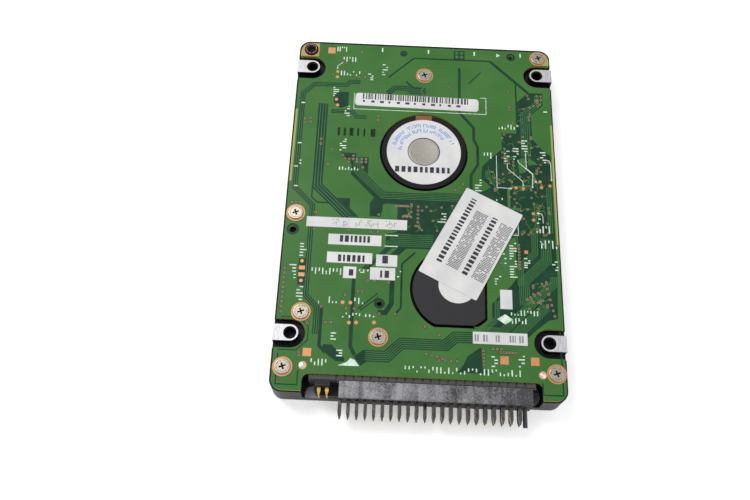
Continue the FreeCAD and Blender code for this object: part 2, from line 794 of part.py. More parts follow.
def head_levels():
    """Each head: its spring's underside and top, and its slider's, on all four faces."""
    levels = []
    for z0, z1 in (upper_platter_z, lower_platter_z):
        levels.append(((z0 - head_gap, z0 - head_gap + spring_thick),
                       (z0 - fly_gap - slider_thick, z0 - fly_gap)))
        levels.append(((z1 + head_gap - spring_thick, z1 + head_gap),
                       (z1 + fly_gap, z1 + fly_gap + slider_thick)))
    return levels


def suspensions():
    """Four thin tapered springs, each ending in the tab that climbs the ramp."""
    springs = []
    for (z0, z1), _ in head_levels():
        root = polar(pivot, arm_reach - 13.0, park_angle)
        neck = polar(pivot, arm_reach - 7.0, park_angle)
        head = polar(pivot, arm_reach, park_angle)
        tab = polar(pivot, arm_reach + 2.2, park_angle)
        pieces = [bar(root, neck, 2.0, z0, z1), bar(neck, head, 1.1, z0, z1),
                  bar(head, tab, 0.35, z0, z1)]
        springs.append(joined(pieces))
    return springs


def head_sliders():
    """Four ceramic sliders that carry the read and write elements."""
    sliders = []
    for _, (z0, z1) in head_levels():
        x, y = polar(pivot, arm_reach, 0.0)
        box = block(x - 0.62, x + 0.62, y - 0.5, y + 0.5, z0, z1)
        sliders.append(turned(box, pivot, park_angle))
    return sliders


def arm_flex():
    """Ribbon glued along the side of the arm block."""
    z0, z1 = arm_levels[0][1], arm_levels[2][0]
    return fan(pivot, hub_block_r, hub_block_r + 0.12, -115.0, 22.0, z0, z1)


def preamp_chip():
    """Small chip on the arm's ribbon."""
    box = block(pivot[0] + hub_block_r + 0.12, pivot[0] + hub_block_r + 0.72, pivot[1] - 1.0,
                pivot[1] + 1.0, arm_levels[0][1] + 0.6, arm_levels[2][0] - 0.6)
    return turned(box, pivot, -123.0)


def flex_loop():
    """Free ribbon between the arm and its bracket, which bends as the arm swings."""
    z0, z1 = arm_levels[0][1] + 0.3, arm_levels[2][0] - 0.3
    end = polar(pivot, hub_block_r + 0.3, -108.0)
    ribbon = bar(end, (end[0] - 0.6, end[1] - 4.0), 0.06, z0, z1)
    rest = bar((end[0] - 0.6, end[1] - 4.0), (bracket_x + 4.0, bracket_y + 1.9), 0.06, z0, z1)
    return joined([ribbon, rest])


bracket_x = -3.5
bracket_y = near + 12.0


def flex_bracket():
    """Metal bracket that holds the ribbon's fixed end over the head connector."""
    wall = block(bracket_x - 5, bracket_x + 5, bracket_y + 1.1, bracket_y + 1.7, 1.4, deck)
    shelf = block(bracket_x - 5, bracket_x + 5, bracket_y - 2.0, bracket_y + 1.2, deck - 1.9,
                  deck - 1.3)
    feet = [block(bracket_x + s * 5.7 - 0.9, bracket_x + s * 5.7 + 0.9, bracket_y - 2.0,
                  bracket_y + 1.7, deck - 0.6, deck) for s in (-1, 1)]
    walls = [block(bracket_x + s * 4.7 - 0.3, bracket_x + s * 4.7 + 0.3, bracket_y - 2.0,
                   bracket_y + 1.7, deck - 1.9, deck) for s in (-1, 1)]
    return joined([wall, shelf] + feet + walls)


def head_connector_shape(grow, z0, z1):
    """Outline of the head connector that passes through the casting's floor."""
    return block(bracket_x - 4.2 - grow, bracket_x + 4.2 + grow, bracket_y - 1.7 - grow,
                 bracket_y + 0.9 + grow, z0, z1)


def head_connector():
    """Plug block between the heads' ribbon and the board."""
    return head_connector_shape(0, deck - 1.3, board_low)


# ---- voice coil motor, stops, latch and ramp -----------------------------------------
def yoke(levels):
    """Steel plate of the voice coil motor with an ear at each post."""
    z0, z1 = levels
    plate = fan(pivot, yoke_in, yoke_out, -38.0, 46.0, z0, z1)
    ears = [cyl(*polar(pivot, r, a), yoke_post_r + 1.0, z0, z1) for a, r in post_places]
    whole = joined([plate] + ears)
    limit = rounded(-cavity_side + 0.2, cavity_side - 0.3, cavity_near + 0.3, spindle[1], z0,
                    z1, cavity_corner)
    holes = [cyl(*polar(pivot, r, a), screw_r + fit, 0, body_height) for a, r in post_places]
    return whole.common(limit).cut(holes)


def magnet(levels):
    """Rare-earth magnet on a yoke."""
    return fan(pivot, coil_in + 0.4, coil_out - 0.3, coil_middle, 25.0, *levels)


def yoke_posts():
    """Spacers between the yokes."""
    return [tube(*polar(pivot, r, a), screw_r + fit, yoke_post_r, upper_yoke_z[1],
                 lower_yoke_z[0]) for a, r in post_places]


def chamber_screws():
    """Screws that hold the yokes with their spacers, and the ramp, to the casting."""
    places = [(polar(pivot, r, a), upper_yoke_z[0]) for a, r in post_places]
    places.append((ramp_screw_place(), ramp_seat))
    return [screw(*place, seat, False, chamber_head_r, 0.3, deck - seat - 0.1, 2, 1.8)
            for place, seat in places]


def crash_stop(angle):
    """Rubber bumper between the yokes that ends the arm's travel."""
    return cyl(*polar(pivot, stop_reach, angle), stop_r, upper_yoke_z[1], lower_yoke_z[0])


latch_pin = (25.7, near + 10.6)
latch_reach = 5.5
latch_open = 81.0
latch_z = (coil_z[0] + 0.1, coil_z[1] - 0.1)


def latch_lever():
    """Inertial latch: a lever whose tip swings in ahead of the fork's hook."""
    z0, z1 = latch_z
    tip = polar(latch_pin, latch_reach, latch_open)
    tail = polar(latch_pin, 2.6, latch_open + 180.0)
    lever = joined([cyl(*latch_pin, 1.5, z0, z1), bar(latch_pin, tip, 0.5, z0, z1),
                    bar(latch_pin, tail, 1.0, z0, z1)])
    return lever.cut(cyl(*latch_pin, 0.6 + running, 0, body_height))


def latch_post():
    """Pin that the latch turns on, with a head that keeps it there."""
    pin = cyl(*latch_pin, 0.6, latch_z[0] - 0.3, deck)
    head = cyl(*latch_pin, 1.1, latch_z[0] - 0.6, latch_z[0] - 0.1)
    shoulder = cyl(*latch_pin, 1.3, latch_z[1] + 0.1, deck)
    return joined([pin, head, shoulder])


tab_gap = 0.06                # between a spring's tab and the ramp's finger
ramp_low = head_levels()[0][0][0] - tab_gap - 0.7
ramp_seat = ramp_low + 0.6


def load_ramp():
    """Plastic ramp at the disks' edge that the springs' tabs climb when parked."""
    gap = tab_gap
    springs = [z for z, _ in head_levels()]
    pieces = [fan(pivot, arm_reach + 3.0, arm_reach + 4.6, park_angle + 2.5, 5.5, ramp_low,
                  deck),
              fan(pivot, arm_reach + 0.9, arm_reach + 5.6, park_angle + 7.0, 2.6, ramp_seat,
                  deck)]
    fingers = [(springs[0][0] - gap - 0.5, springs[0][0] - gap),
               (springs[1][1] + gap, springs[2][0] - gap),
               (springs[3][1] + gap, springs[3][1] + gap + 0.5)]
    pieces += [fan(pivot, arm_reach + 0.9, arm_reach + 3.2, park_angle + 1.0, 4.0, *z)
               for z in fingers]
    place = ramp_screw_place()
    return without(joined(pieces), [cyl(*place, screw_r + fit, 0, body_height),
                                    cyl(*place, chamber_head_r + 0.1, 0, ramp_seat)])


def ramp_screw_place():
    """Centre of the screw through the ramp's foot."""
    return polar(pivot, arm_reach + 3.6, park_angle + 7.0)


# ---- filters ------------------------------------------------------------------------
def breather_filter():
    """Round filter glued inside the cover over the breather hole."""
    return cyl(*breather_place(), 4.0, cover_thick, cover_thick + 0.9)


def recirculation_filter():
    """Small pad that stands in the air stream beside the disks."""
    x, y = filter_place()
    pad = block(x - 0.8, x + 0.8, y - 3.0, y + 3.0, 1.5, deck)
    return turned(pad, (x, y), 134.0)


def desiccant_pack():
    """Packet of drying beads in the corner of the chamber."""
    x, y = -23.0, near + 11.5
    return rounded(x - 3.6, x + 3.6, y - 4.0, y + 4.0, 2.4, deck - 0.3, 1.2)


# ---- all pieces ---------------------------------------------------------------------
def main():
    os.makedirs("parts", exist_ok=True)
    contacts = connector_contacts()
    jumpers = jumper_contacts()
    core = stator_core()
    save("base_casting", base_casting())
    save("top_cover", top_cover())
    save("cover_label", label_plan(0, 0, label_thick))
    save("cover_gasket", cover_gasket())
    save("cover_screws", cover_screws())
    save("breather_filter", breather_filter())
    save("circuit_board", circuit_board())
    save("board_screws", board_screws())
    save("insulator_sheet", insulator_sheet())
    save("controller_chip", chip(-20.5, near + 56.0, 12.0, 12.0, 0.9, 16, "xy"))
    save("motor_driver_chip", chip(22.5, near + 50.5, 8.0, 8.0, 0.85, 10, "xy"))
    save("buffer_memory_chip", chip(-14.5, near + 35.5, 8.0, 11.5, 0.9, 14, "x"))
    save("crystal", crystal())
    save("board_capacitors", board_capacitors())
    save("connector_pins", contacts)
    save("jumper_pins", jumpers)
    save("connector_housing", connector_housing(contacts + jumpers))
    labels()
    save("service_label", service_label())
    save("pivot_sticker", pivot_sticker())
    save("bearing_sleeve", bearing_sleeve())
    save("motor_cap", motor_cap())
    save("stator_core", core)
    save("stator_coils", stator_coils(core))
    save("rotor_hub", rotor_hub())
    save("spindle_shaft", spindle_shaft())
    save("rotor_magnet", rotor_magnet())
    save("upper_platter", platter(upper_platter_z))
    save("lower_platter", platter(lower_platter_z))
    save("platter_spacer", tube(*spindle, hub_r, hub_r + 2.0, upper_platter_z[1],
                                lower_platter_z[0]))
    save("disk_clamp", disk_clamp())
    save("clamp_screw", clamp_screw())
    save("motor_flex", motor_flex())
    save("motor_label", motor_label())
    save("arm_block", arm_block())
    save("coil_fork", coil_fork())
    save("voice_coil", voice_coil())
    pivot_cartridge()
    save("pivot_screw", pivot_screw())
    save("suspensions", suspensions())
    save("head_sliders", head_sliders())
    save("arm_flex", arm_flex())
    save("preamp_chip", preamp_chip())
    save("flex_loop", flex_loop())
    save("flex_bracket", flex_bracket())
    save("head_connector", head_connector())
    save("upper_yoke", yoke(upper_yoke_z))
    save("lower_yoke", yoke(lower_yoke_z))
    save("yoke_magnets", [magnet(upper_magnet_z), magnet(lower_magnet_z)])
    save("yoke_posts", yoke_posts())
    save("chamber_screws", chamber_screws())
    save("crash_stops", [crash_stop(a) for a in stop_angles])
    save("latch_lever", latch_lever())
    save("latch_post", latch_post())
    save("load_ramp", load_ramp())
    save("recirculation_filter", recirculation_filter())
    save("desiccant_pack", desiccant_pack())


main()
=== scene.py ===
import bpy
import math
import numpy as np
from mathutils import Matrix, Vector


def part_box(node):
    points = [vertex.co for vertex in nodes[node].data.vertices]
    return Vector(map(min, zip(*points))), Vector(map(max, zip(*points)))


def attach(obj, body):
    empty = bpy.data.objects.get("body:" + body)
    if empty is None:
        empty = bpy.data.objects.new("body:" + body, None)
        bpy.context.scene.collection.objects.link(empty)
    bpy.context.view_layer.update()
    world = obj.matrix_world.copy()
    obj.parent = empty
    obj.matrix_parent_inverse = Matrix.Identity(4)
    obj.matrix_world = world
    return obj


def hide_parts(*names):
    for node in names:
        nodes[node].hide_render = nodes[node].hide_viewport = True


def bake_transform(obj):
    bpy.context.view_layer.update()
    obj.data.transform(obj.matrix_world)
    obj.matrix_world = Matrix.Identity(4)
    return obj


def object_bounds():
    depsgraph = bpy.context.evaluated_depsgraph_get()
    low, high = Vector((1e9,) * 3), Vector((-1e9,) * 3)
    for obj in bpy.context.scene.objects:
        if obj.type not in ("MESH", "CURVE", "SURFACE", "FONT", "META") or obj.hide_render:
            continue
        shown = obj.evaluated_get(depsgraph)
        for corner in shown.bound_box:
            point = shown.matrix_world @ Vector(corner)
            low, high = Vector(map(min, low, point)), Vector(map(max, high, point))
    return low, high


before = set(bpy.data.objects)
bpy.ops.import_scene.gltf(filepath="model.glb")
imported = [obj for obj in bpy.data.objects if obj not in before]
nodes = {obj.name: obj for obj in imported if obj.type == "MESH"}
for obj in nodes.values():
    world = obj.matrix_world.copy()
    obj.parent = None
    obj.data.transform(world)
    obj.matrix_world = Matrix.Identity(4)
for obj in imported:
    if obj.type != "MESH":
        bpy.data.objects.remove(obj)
cad_box = [list(corner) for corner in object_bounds()]

# ---- studio ---------------------------------------------------------------------------
# The drive lies on its cover on a pale table top, seen from above and a little in front,
# under a large soft lamp on the left and the even light of a white room.
camera_lens = 38.55
camera_elevation = math.radians(66.37)
camera_azimuth = math.radians(0.27)
camera_roll = math.radians(2.19)
camera_distance = 0.19937
camera_target = Vector((-0.01151, -0.01377, 0.0095))

back = Vector((math.sin(camera_azimuth) * math.cos(camera_elevation),
               -math.cos(camera_azimuth) * math.cos(camera_elevation),
               math.sin(camera_elevation)))
level = Vector((0, 0, 1)).cross(back).normalized()
upward = back.cross(level)
right = math.cos(camera_roll) * level + math.sin(camera_roll) * upward
up = math.cos(camera_roll) * upward - math.sin(camera_roll) * level
camera_data = bpy.data.cameras.new("camera")
camera_data.lens = camera_lens
camera_data.sensor_width = 36
camera_data.clip_start = 0.01
camera = bpy.data.objects.new("camera", camera_data)
camera.matrix_world = Matrix.Translation(camera_target + back * camera_distance) @ Matrix(
    (right, up, back)).transposed().to_4x4()
bpy.context.collection.objects.link(camera)
bpy.context.scene.camera = camera
bpy.context.scene.view_settings.view_transform = "Standard"

room = bpy.data.worlds.new("room")
room.use_nodes = True
room.node_tree.nodes["Background"].inputs["Color"].default_value = (1, 1, 1, 1)
room.node_tree.nodes["Background"].inputs["Strength"].default_value = 0.75
bpy.context.scene.world = room


def lamp(name, place, size, power):
    """Square soft lamp at a place, turned to shine on the middle of the drive."""
    light = bpy.data.lights.new(name, "AREA")
    light.size = size
    light.energy = power
    holder = bpy.data.objects.new(name, light)
    holder.location = place
    holder.rotation_euler = (-Vector(place)).to_track_quat("-Z", "Y").to_euler()
    bpy.context.collection.objects.link(holder)


lamp("key_lamp", (-0.25, 0.20, 0.45), 0.25, 1.5)
lamp("fill_lamp", (0.35, -0.15, 0.40), 0.40, 0.6)


class Wire:
    """One output of a shader node; arithmetic on it adds the Math nodes that work it out."""

    def __init__(self, finish, socket):
        self.finish = finish
        self.socket = socket

    def math(self, operation, first, second=0.0):
        return self.finish.node("ShaderNodeMath", {"operation": operation}, {0: first, 1: second})

    def __add__(self, other):
        return self.math("ADD", self, other)

    def __sub__(self, other):
        return self.math("SUBTRACT", self, other)

    def __rsub__(self, other):
        return self.math("SUBTRACT", other, self)

    def __mul__(self, other):
        return self.math("MULTIPLY", self, other)

    def __gt__(self, other):
        return self.math("GREATER_THAN", self, other)

    def __lt__(self, other):
        return self.math("LESS_THAN", self, other)

    __radd__ = __add__
    __rmul__ = __mul__


class Finish:
    """A material: even values are set on its shader, and varying ones are fed to it."""

    def __init__(self, name, **even):
        self.material = bpy.data.materials.new(name)
        self.material.use_nodes = True
        self.tree = self.material.node_tree
        self.shader = self.tree.nodes["Principled BSDF"]
        for socket, value in even.items():
            self.shader.inputs[socket.replace("_", " ")].default_value = value

    def node(self, kind, settings=None, inputs=None, out=0):
        made = self.tree.nodes.new(kind)
        for key, value in (settings or {}).items():
            setattr(made, key, value)
        for key, value in (inputs or {}).items():
            if isinstance(value, Wire):
                self.tree.links.new(value.socket, made.inputs[key])
            else:
                made.inputs[key].default_value = value
        return Wire(self, made.outputs[out])

    def place(self, stretch=(1, 1, 1)):
        """Object coordinates in millimetres, each axis multiplied by its stretch."""
        return self.node("ShaderNodeMapping", {}, {
            "Vector": self.node("ShaderNodeTexCoord", out="Object"),
            "Scale": [1000 * each for each in stretch]})

    def axes(self):
        """x, y and z in millimetres."""
        split = self.node("ShaderNodeSeparateXYZ", {}, {0: self.place()})
        return [Wire(self, output) for output in split.socket.node.outputs]

    def near(self, x, y, radius):
        """1 inside an upright cylinder about a point."""
        east, north, _ = self.axes()
        east, north = east - x, north - y
        return (east * east + north * north) < radius * radius

    def grain(self, lumps, detail=3.0, stretch=(1, 1, 1)):
        """Noise from 0 to 1 with so many lumps to the millimetre."""
        return self.node("ShaderNodeTexNoise", {},
                         {"Vector": self.place(stretch), "Scale": lumps, "Detail": detail})

    def between(self, wire, low, high, first=0.0, second=1.0):
        """Straight ramp from the first value at low to the second at high, held past them."""
        return self.node("ShaderNodeMapRange", {}, {
            "Value": wire, "From Min": low, "From Max": high, "To Min": first, "To Max": second})

    def blend(self, mask, first, second):
        """First colour where the mask is 0, second where it is 1."""
        return self.node("ShaderNodeMix", {"data_type": "RGBA"}, {0: mask, 6: first, 7: second},
                         out=2)

    def edges(self, radius):
        """How far a normal rounded over so many millimetres leans from the true one."""
        true = self.node("ShaderNodeNewGeometry", out="Normal")
        soft = self.node("ShaderNodeBevel", {"samples": 4}, {"Radius": radius / 1000})
        return 1 - self.node("ShaderNodeVectorMath", {"operation": "DOT_PRODUCT"},
                             {0: true, 1: soft}, out="Value")

    def upward(self):
        """1 on a face that looks up, 0 on an upright one, -1 underneath."""
        normal = self.node("ShaderNodeNewGeometry", out="Normal")
        return self.node("ShaderNodeSeparateXYZ", {}, {0: normal}, out="Z")

    def relief(self, wire, depth):
        """Normal of a bump so many millimetres deep."""
        return self.node("ShaderNodeBump", {}, {"Height": wire, "Distance": depth / 1000})

    def feed(self, **wires):
        for socket, wire in wires.items():
            self.tree.links.new(wire.socket, self.shader.inputs[socket.replace("_", " ")])

    def follow(self, wire, first, second, rough_low, rough_high, depth=None):
        """Colour and roughness that follow one noise, and a bump too if it has a depth."""
        self.feed(Base_Color=self.blend(wire, shade(*first), shade(*second)),
                  Roughness=self.between(wire, 0.2, 0.8, rough_low, rough_high))
        if depth:
            self.feed(Normal=self.relief(wire, depth))


def shade(red, green, blue):
    """Colour from 0-to-255 screen values, as the linear light that the shader wants."""
    screen = np.array((red, green, blue)) / 255
    linear = np.where(screen > 0.04045, ((screen + 0.055) / 1.055) ** 2.4, screen / 12.92)
    return (*linear.tolist(), 1.0)


def dress(finish, *names):
    """Puts a finish on CAD nodes."""
    for name in names:
        slots = nodes[name].data.materials
        slots.clear()
        slots.append(finish.material)


# White table top of frosted laminate, faintly lit from below, wider than the lamps' light.
table_half = 1.2
table_top = Finish("table_top", Base_Color=(0.93, 0.93, 0.93, 1), Roughness=0.6,
                   Emission_Color=(1, 1, 1, 1), Emission_Strength=0.25)
table_data = bpy.data.meshes.new("table")
table_data.from_pydata([(x * table_half, y * table_half, cad_box[0][2]) for x, y in
                        ((-1, -1), (1, -1), (1, 1), (-1, 1))], [], [(0, 1, 2, 3)])
table = bpy.data.objects.new("table", table_data)
table_data.materials.append(table_top.material)
bpy.context.collection.objects.link(table)

# ---- base casting ---------------------------------------------------------------------
# Die-cast aluminium tub in thin black electro-coat.  Its four mounting lugs are milled
# bare, the boss over the pivot is charcoal where the coat has dulled, and the floor of
# the connector bay is bare grey metal.
lug_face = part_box("base_casting")[1].z * 1000
pivot_seal_low, pivot_seal_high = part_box("pivot_sticker")
pivot_x, pivot_y = ((pivot_seal_low + pivot_seal_high) * 500).xy
boss_top = pivot_seal_low.z * 1000
housing_low, housing_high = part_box("connector_housing")
bay_back = housing_high.y * 1000
bay_floor = housing_low.z * 1000
skin = 0.03
boss_middle = (pivot_x - 0.75, pivot_y - 1.1)
boss_reach = 13.0
casting = Finish("black_electrocoat", Specular_IOR_Level=0.2)
x, y, z = casting.axes()
lands = z > lug_face - skin
boss = casting.near(*boss_middle, boss_reach) * (z > boss_top - skin) * (1 - lands)
arc_x, arc_y, arc_r = -24.0, -49.3, 2.7
beyond_arc = casting.between((x > arc_x) + casting.near(arc_x, arc_y, arc_r), 0.0, 1.0)
floor = (y < bay_back + 0.3) * (z < bay_floor + 0.08) * (x < 0) * beyond_arc * casting.between(
    casting.upward(), 0.4, 0.6)
speckle = casting.grain(2.2, 6.0)
milling = casting.grain(1.2, 4.0, (9.0, 0.5, 1.0))
# Rounded edges turn grey: partly wear of the coat, partly a painted highlight along each edge.
coat_wear_and_highlight = casting.between(casting.edges(0.12) + speckle * 0.03, 0.05, 0.20)
coat = casting.blend(casting.between(speckle, 0.35, 0.7), shade(5, 5, 6), shade(13, 13, 15))
coat = casting.blend(coat_wear_and_highlight * 0.35, coat, shade(96, 96, 98))
coat = casting.blend(boss, coat, casting.blend(speckle, shade(36, 36, 39), shade(46, 46, 49)))
coat = casting.blend(floor, coat, casting.blend(speckle, shade(112, 114, 122),
                                                shade(156, 158, 166)))
metal = casting.blend(casting.between(milling, 0.3, 0.75), shade(168, 168, 172),
                      shade(214, 214, 216))
casting.feed(Base_Color=casting.blend(lands, coat, metal),
             Metallic=lands * 0.75 + floor * 0.4,
             Roughness=casting.between(speckle, 0.2, 0.8, 0.34, 0.56),
             Normal=casting.relief(speckle + milling * lands, 0.02))
dress(casting, "base_casting")

# ---- spindle motor --------------------------------------------------------------------
# Wound stator on a steel sleeve in the casting, ring magnet and turned aluminium hub
# round it, closed on the board side by a pressed steel cap.
steel = Finish("plated_steel", Metallic=1.0)
fine = steel.grain(3.0, 5.0)
streak = steel.grain(1.5, 3.0, (1.0, 6.0, 6.0))
steel.feed(Base_Color=steel.blend(fine, shade(150, 148, 144), shade(196, 193, 188)),
           Roughness=steel.between(streak, 0.2, 0.8, 0.24, 0.42),
           Normal=steel.relief(streak, 0.004))
dress(steel, "bearing_sleeve", "stator_core", "spindle_shaft", "pivot_shaft", "pivot_sleeve",
      "pivot_bearings", "latch_post", "flex_bracket", "upper_yoke", "lower_yoke",
      "suspensions", "crystal")

enamel = Finish("enamelled_copper", Metallic=0.9, Coat_Weight=0.5)
turns = enamel.node("ShaderNodeTexWave", {"wave_type": "RINGS", "rings_direction": "Z"},
                    {"Vector": enamel.place(), "Scale": 1.6, "Distortion": 0.6})
enamel.feed(Base_Color=enamel.blend(turns, shade(120, 58, 28), shade(214, 128, 74)),
            Roughness=enamel.between(turns, 0.0, 1.0, 0.45, 0.25),
            Normal=enamel.relief(turns, 0.05))
dress(enamel, "stator_coils", "voice_coil")

nickel = Finish("nickel_plate", Metallic=1.0)
fine = nickel.grain(1.6, 4.0)
nickel.follow(fine, (178, 174, 164), (206, 203, 196), 0.14, 0.3, 0.004)
dress(nickel, "rotor_magnet", "yoke_magnets")

turned = Finish("turned_aluminium", Metallic=1.0)
rings = turned.grain(1.0, 2.0, (0.2, 0.2, 9.0))
fine = turned.grain(4.0, 3.0)
# Rounded edges turn almost white: a painted highlight.
turned_edge_highlight = turned.between(turned.edges(0.06), 0.04, 0.2)
turned.feed(Base_Color=turned.blend(turned_edge_highlight, turned.blend(fine, shade(186, 187, 190),
                                                         shade(212, 212, 214)),
                                    shade(238, 238, 240)),
            Roughness=turned.between(rings, 0.2, 0.8, 0.22, 0.4),
            Normal=turned.relief(rings + fine * 0.4, 0.006))
dress(turned, "rotor_hub", "disk_clamp", "platter_spacer", "arm_block", "yoke_posts")

# ---- disks ----------------------------------------------------------------------------
# Two polished disks with a magnetic film and a trace of lubricant, clamped on the hub.
mirror = Finish("disk_film", Metallic=1.0, Coat_Weight=0.3, Coat_Roughness=0.02)
haze = mirror.grain(0.15, 2.0)
mirror.feed(Base_Color=mirror.blend(haze, shade(172, 168, 162), shade(190, 187, 182)),
            Roughness=mirror.between(haze, 0.3, 0.7, 0.03, 0.07))
dress(mirror, "upper_platter", "lower_platter")

# ---- head arm and latch ---------------------------------------------------------------
# Moulded frame round the voice coil, parking ramp and latch in natural resin; tan
# ceramic sliders; amber film circuits.
resin = Finish("natural_resin", Subsurface_Weight=0.08, IOR=1.5)
cloud = resin.grain(0.8, 4.0)
resin.feed(Base_Color=resin.blend(cloud, shade(206, 198, 168), shade(226, 220, 196)),
           Roughness=resin.between(cloud, 0.2, 0.8, 0.38, 0.55),
           Normal=resin.relief(resin.grain(5.0), 0.006))
dress(resin, "coil_fork", "load_ramp", "latch_lever")

ceramic = Finish("sintered_ceramic")
grit = ceramic.grain(9.0, 4.0)
ceramic.follow(grit, (132, 104, 76), (186, 158, 124), 0.35, 0.6)
dress(ceramic, "head_sliders", "board_capacitors")

film = Finish("polyimide_film", Coat_Weight=0.3, Coat_Roughness=0.15)
weave = film.node("ShaderNodeTexWave", {"bands_direction": "X"},
                  {"Vector": film.place(), "Scale": 1.1, "Distortion": 0.3})
film.feed(Base_Color=film.blend(film.between(weave, 0.5, 0.62), shade(150, 84, 26),
                                shade(62, 34, 14)),
          Roughness=film.between(weave, 0.0, 1.0, 0.25, 0.4),
          Normal=film.relief(weave, 0.01))
dress(film, "motor_flex", "arm_flex", "flex_loop")

# ---- chips ----------------------------------------------------------------------------
# Black moulded packages under the board and on the arm, matt with a faint pebble.
package = Finish("moulded_package", Specular_IOR_Level=0.25)
pebble = package.grain(7.0, 3.0)
package.follow(pebble, (24, 24, 25), (46, 46, 47), 0.55, 0.75, 0.008)
dress(package, "controller_chip", "motor_driver_chip", "buffer_memory_chip", "preamp_chip",
      "insulator_sheet")

# ---- seals and filters ----------------------------------------------------------------
# Foamed gasket and rubber stops, and filter pads of pressed white felt.
rubber = Finish("foamed_rubber", Sheen_Weight=0.2)
cells = rubber.node("ShaderNodeTexVoronoi", {}, {"Vector": rubber.place(), "Scale": 6.0})
rubber.feed(Base_Color=rubber.blend(cells, shade(20, 20, 20), shade(52, 52, 52)),
            Roughness=rubber.between(cells, 0.0, 0.8, 0.9, 0.7),
            Normal=rubber.relief(cells, 0.03))
dress(rubber, "cover_gasket", "crash_stops")

felt = Finish("pressed_felt", Sheen_Weight=0.4)
fibre = felt.grain(6.0, 8.0, (1.0, 0.4, 1.0))
felt.feed(Base_Color=felt.blend(fibre, shade(214, 212, 206), shade(244, 243, 240)),
          Roughness=felt.between(fibre, 0.0, 1.0, 0.85, 1.0),
          Normal=felt.relief(fibre, 0.05))
dress(felt, "breather_filter", "recirculation_filter", "desiccant_pack")

# ---- top cover ------------------------------------------------------------------------
# Stamped aluminium lid that the drive lies on, satin with a fine grain along its length
# and lighter along its sheared edge, partly polish and partly painted highlight.
lid = Finish("satin_sheet", Metallic=1.0)
streak = lid.grain(1.2, 5.0, (8.0, 0.25, 1.0))
# Sheared edges lighten: polish and a painted highlight.
sheared_rim_highlight = lid.between(lid.edges(0.15), 0.03, 0.15)
lid.feed(Base_Color=lid.blend(sheared_rim_highlight, lid.blend(streak, shade(176, 176, 178),
                                                 shade(206, 206, 208)), shade(236, 236, 236)),
         Roughness=lid.between(streak, 0.2, 0.8, 0.26, 0.42),
         Normal=lid.relief(streak, 0.006))
dress(lid, "top_cover")

# ---- screws ---------------------------------------------------------------------------
# Bright zinc-plated steel, pressed heads, with painted shade in the recess and a rim lightened by
# scuffs and a painted highlight.
zinc = Finish("bright_zinc", Metallic=0.9)
mottle = zinc.grain(2.5, 5.0)
# The rim lightens: scuffs and a painted highlight.
scuff_and_highlight = zinc.between(zinc.edges(0.10) + mottle * 0.04, 0.04, 0.2)
x, y, z = zinc.axes()
head_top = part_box("board_screws")[1].z * 1000
# Up-facing faces inside the recess are painted near black as shade.
recess_shade = (z > head_top - 0.9) * (z < head_top - 0.06) * zinc.between(zinc.upward(), 0.5, 0.7)
plate = zinc.blend(scuff_and_highlight, zinc.blend(mottle, shade(152, 144, 130), shade(190, 182, 168)),
                   shade(220, 214, 204))
oiled_x, oiled_y = -31.6, 46.6
plate = zinc.blend(zinc.near(oiled_x, oiled_y, 2.2) * (z > head_top - 0.9), plate,
                   shade(34, 32, 32))
zinc.feed(Base_Color=zinc.blend(recess_shade, plate, shade(24, 22, 22)),
          Roughness=zinc.between(mottle, 0.2, 0.8, 0.22, 0.42),
          Normal=zinc.relief(mottle, 0.01))
dress(zinc, "cover_screws", "board_screws", "pivot_screw", "clamp_screw", "chamber_screws")

# ---- connector ------------------------------------------------------------------------
# Glass-filled black resin, cloudy in bands between the contacts, with a painted grey sheen
# on its tops, a painted shadow line at the rear step and edges lightened by wear and a
# painted highlight; square contacts of dark nickel that show gold where the plating is thick.
block_left = -18.5
strip_front = bay_back - 1.15
housing = Finish("glass_filled_resin", Specular_IOR_Level=0.35)
x, y, _ = housing.axes()
dust = housing.grain(3.2, 8.0)
swirl = housing.grain(0.28, 4.0)
bands = housing.grain(0.5, 2.0, (1.0, 0.12, 0.12))
tone = housing.between(dust * 0.45 + swirl * 0.35 + bands * 0.3 - x * 0.004, 0.44, 0.68)
# Up-facing faces get the cloudy grey, lighter towards the left: a painted sheen over the real cloud.
# Upright sides stay black.
flat = housing.between(housing.upward(), 0.4, 0.6)
jumper_block = (x < block_left) * (y < strip_front)
sheen_and_cloud_grey = housing.blend(tone, shade(56, 56, 60), shade(148, 148, 152))
sheen_and_cloud_grey = housing.blend(y > strip_front, sheen_and_cloud_grey, housing.blend(dust, shade(44, 43, 44),
                                                            shade(84, 82, 82)))
# A painted dark shadow line along the step to the rear strip.
seam_shadow = (y > strip_front - 0.12) * (y < strip_front + 0.12)
housing_colour = housing.blend(flat * (1 - jumper_block) * (1 - seam_shadow), shade(22, 22, 24), sheen_and_cloud_grey)
# Edges lighten: wear and a painted highlight.
housing_wear_and_highlight = housing.between(housing.edges(0.1), 0.05, 0.25) * 0.35
housing.feed(Base_Color=housing.blend(housing_wear_and_highlight, housing_colour, shade(150, 150, 152)),
             Roughness=housing.between(dust, 0.2, 0.8, 0.5, 0.75),
             Normal=housing.relief(dust, 0.03))
dress(housing, "connector_housing", "head_connector")

gilt = Finish("nickel_over_gold", Metallic=1.0)
wear = gilt.grain(1.1, 4.0)
patch = gilt.between(gilt.grain(0.35, 2.0), 0.5, 0.58) * (1 - gilt.between(gilt.upward(), 0.2, 0.5))
plated = gilt.blend(wear, shade(206, 174, 92), shade(232, 214, 140))
tarnish = gilt.blend(wear, shade(52, 51, 53), shade(112, 110, 110))
gilt.feed(Base_Color=gilt.blend(patch, tarnish, plated),
          Roughness=gilt.between(wear, 0.2, 0.8, 0.2, 0.4),
          Normal=gilt.relief(wear, 0.01))
dress(gilt, "connector_pins")

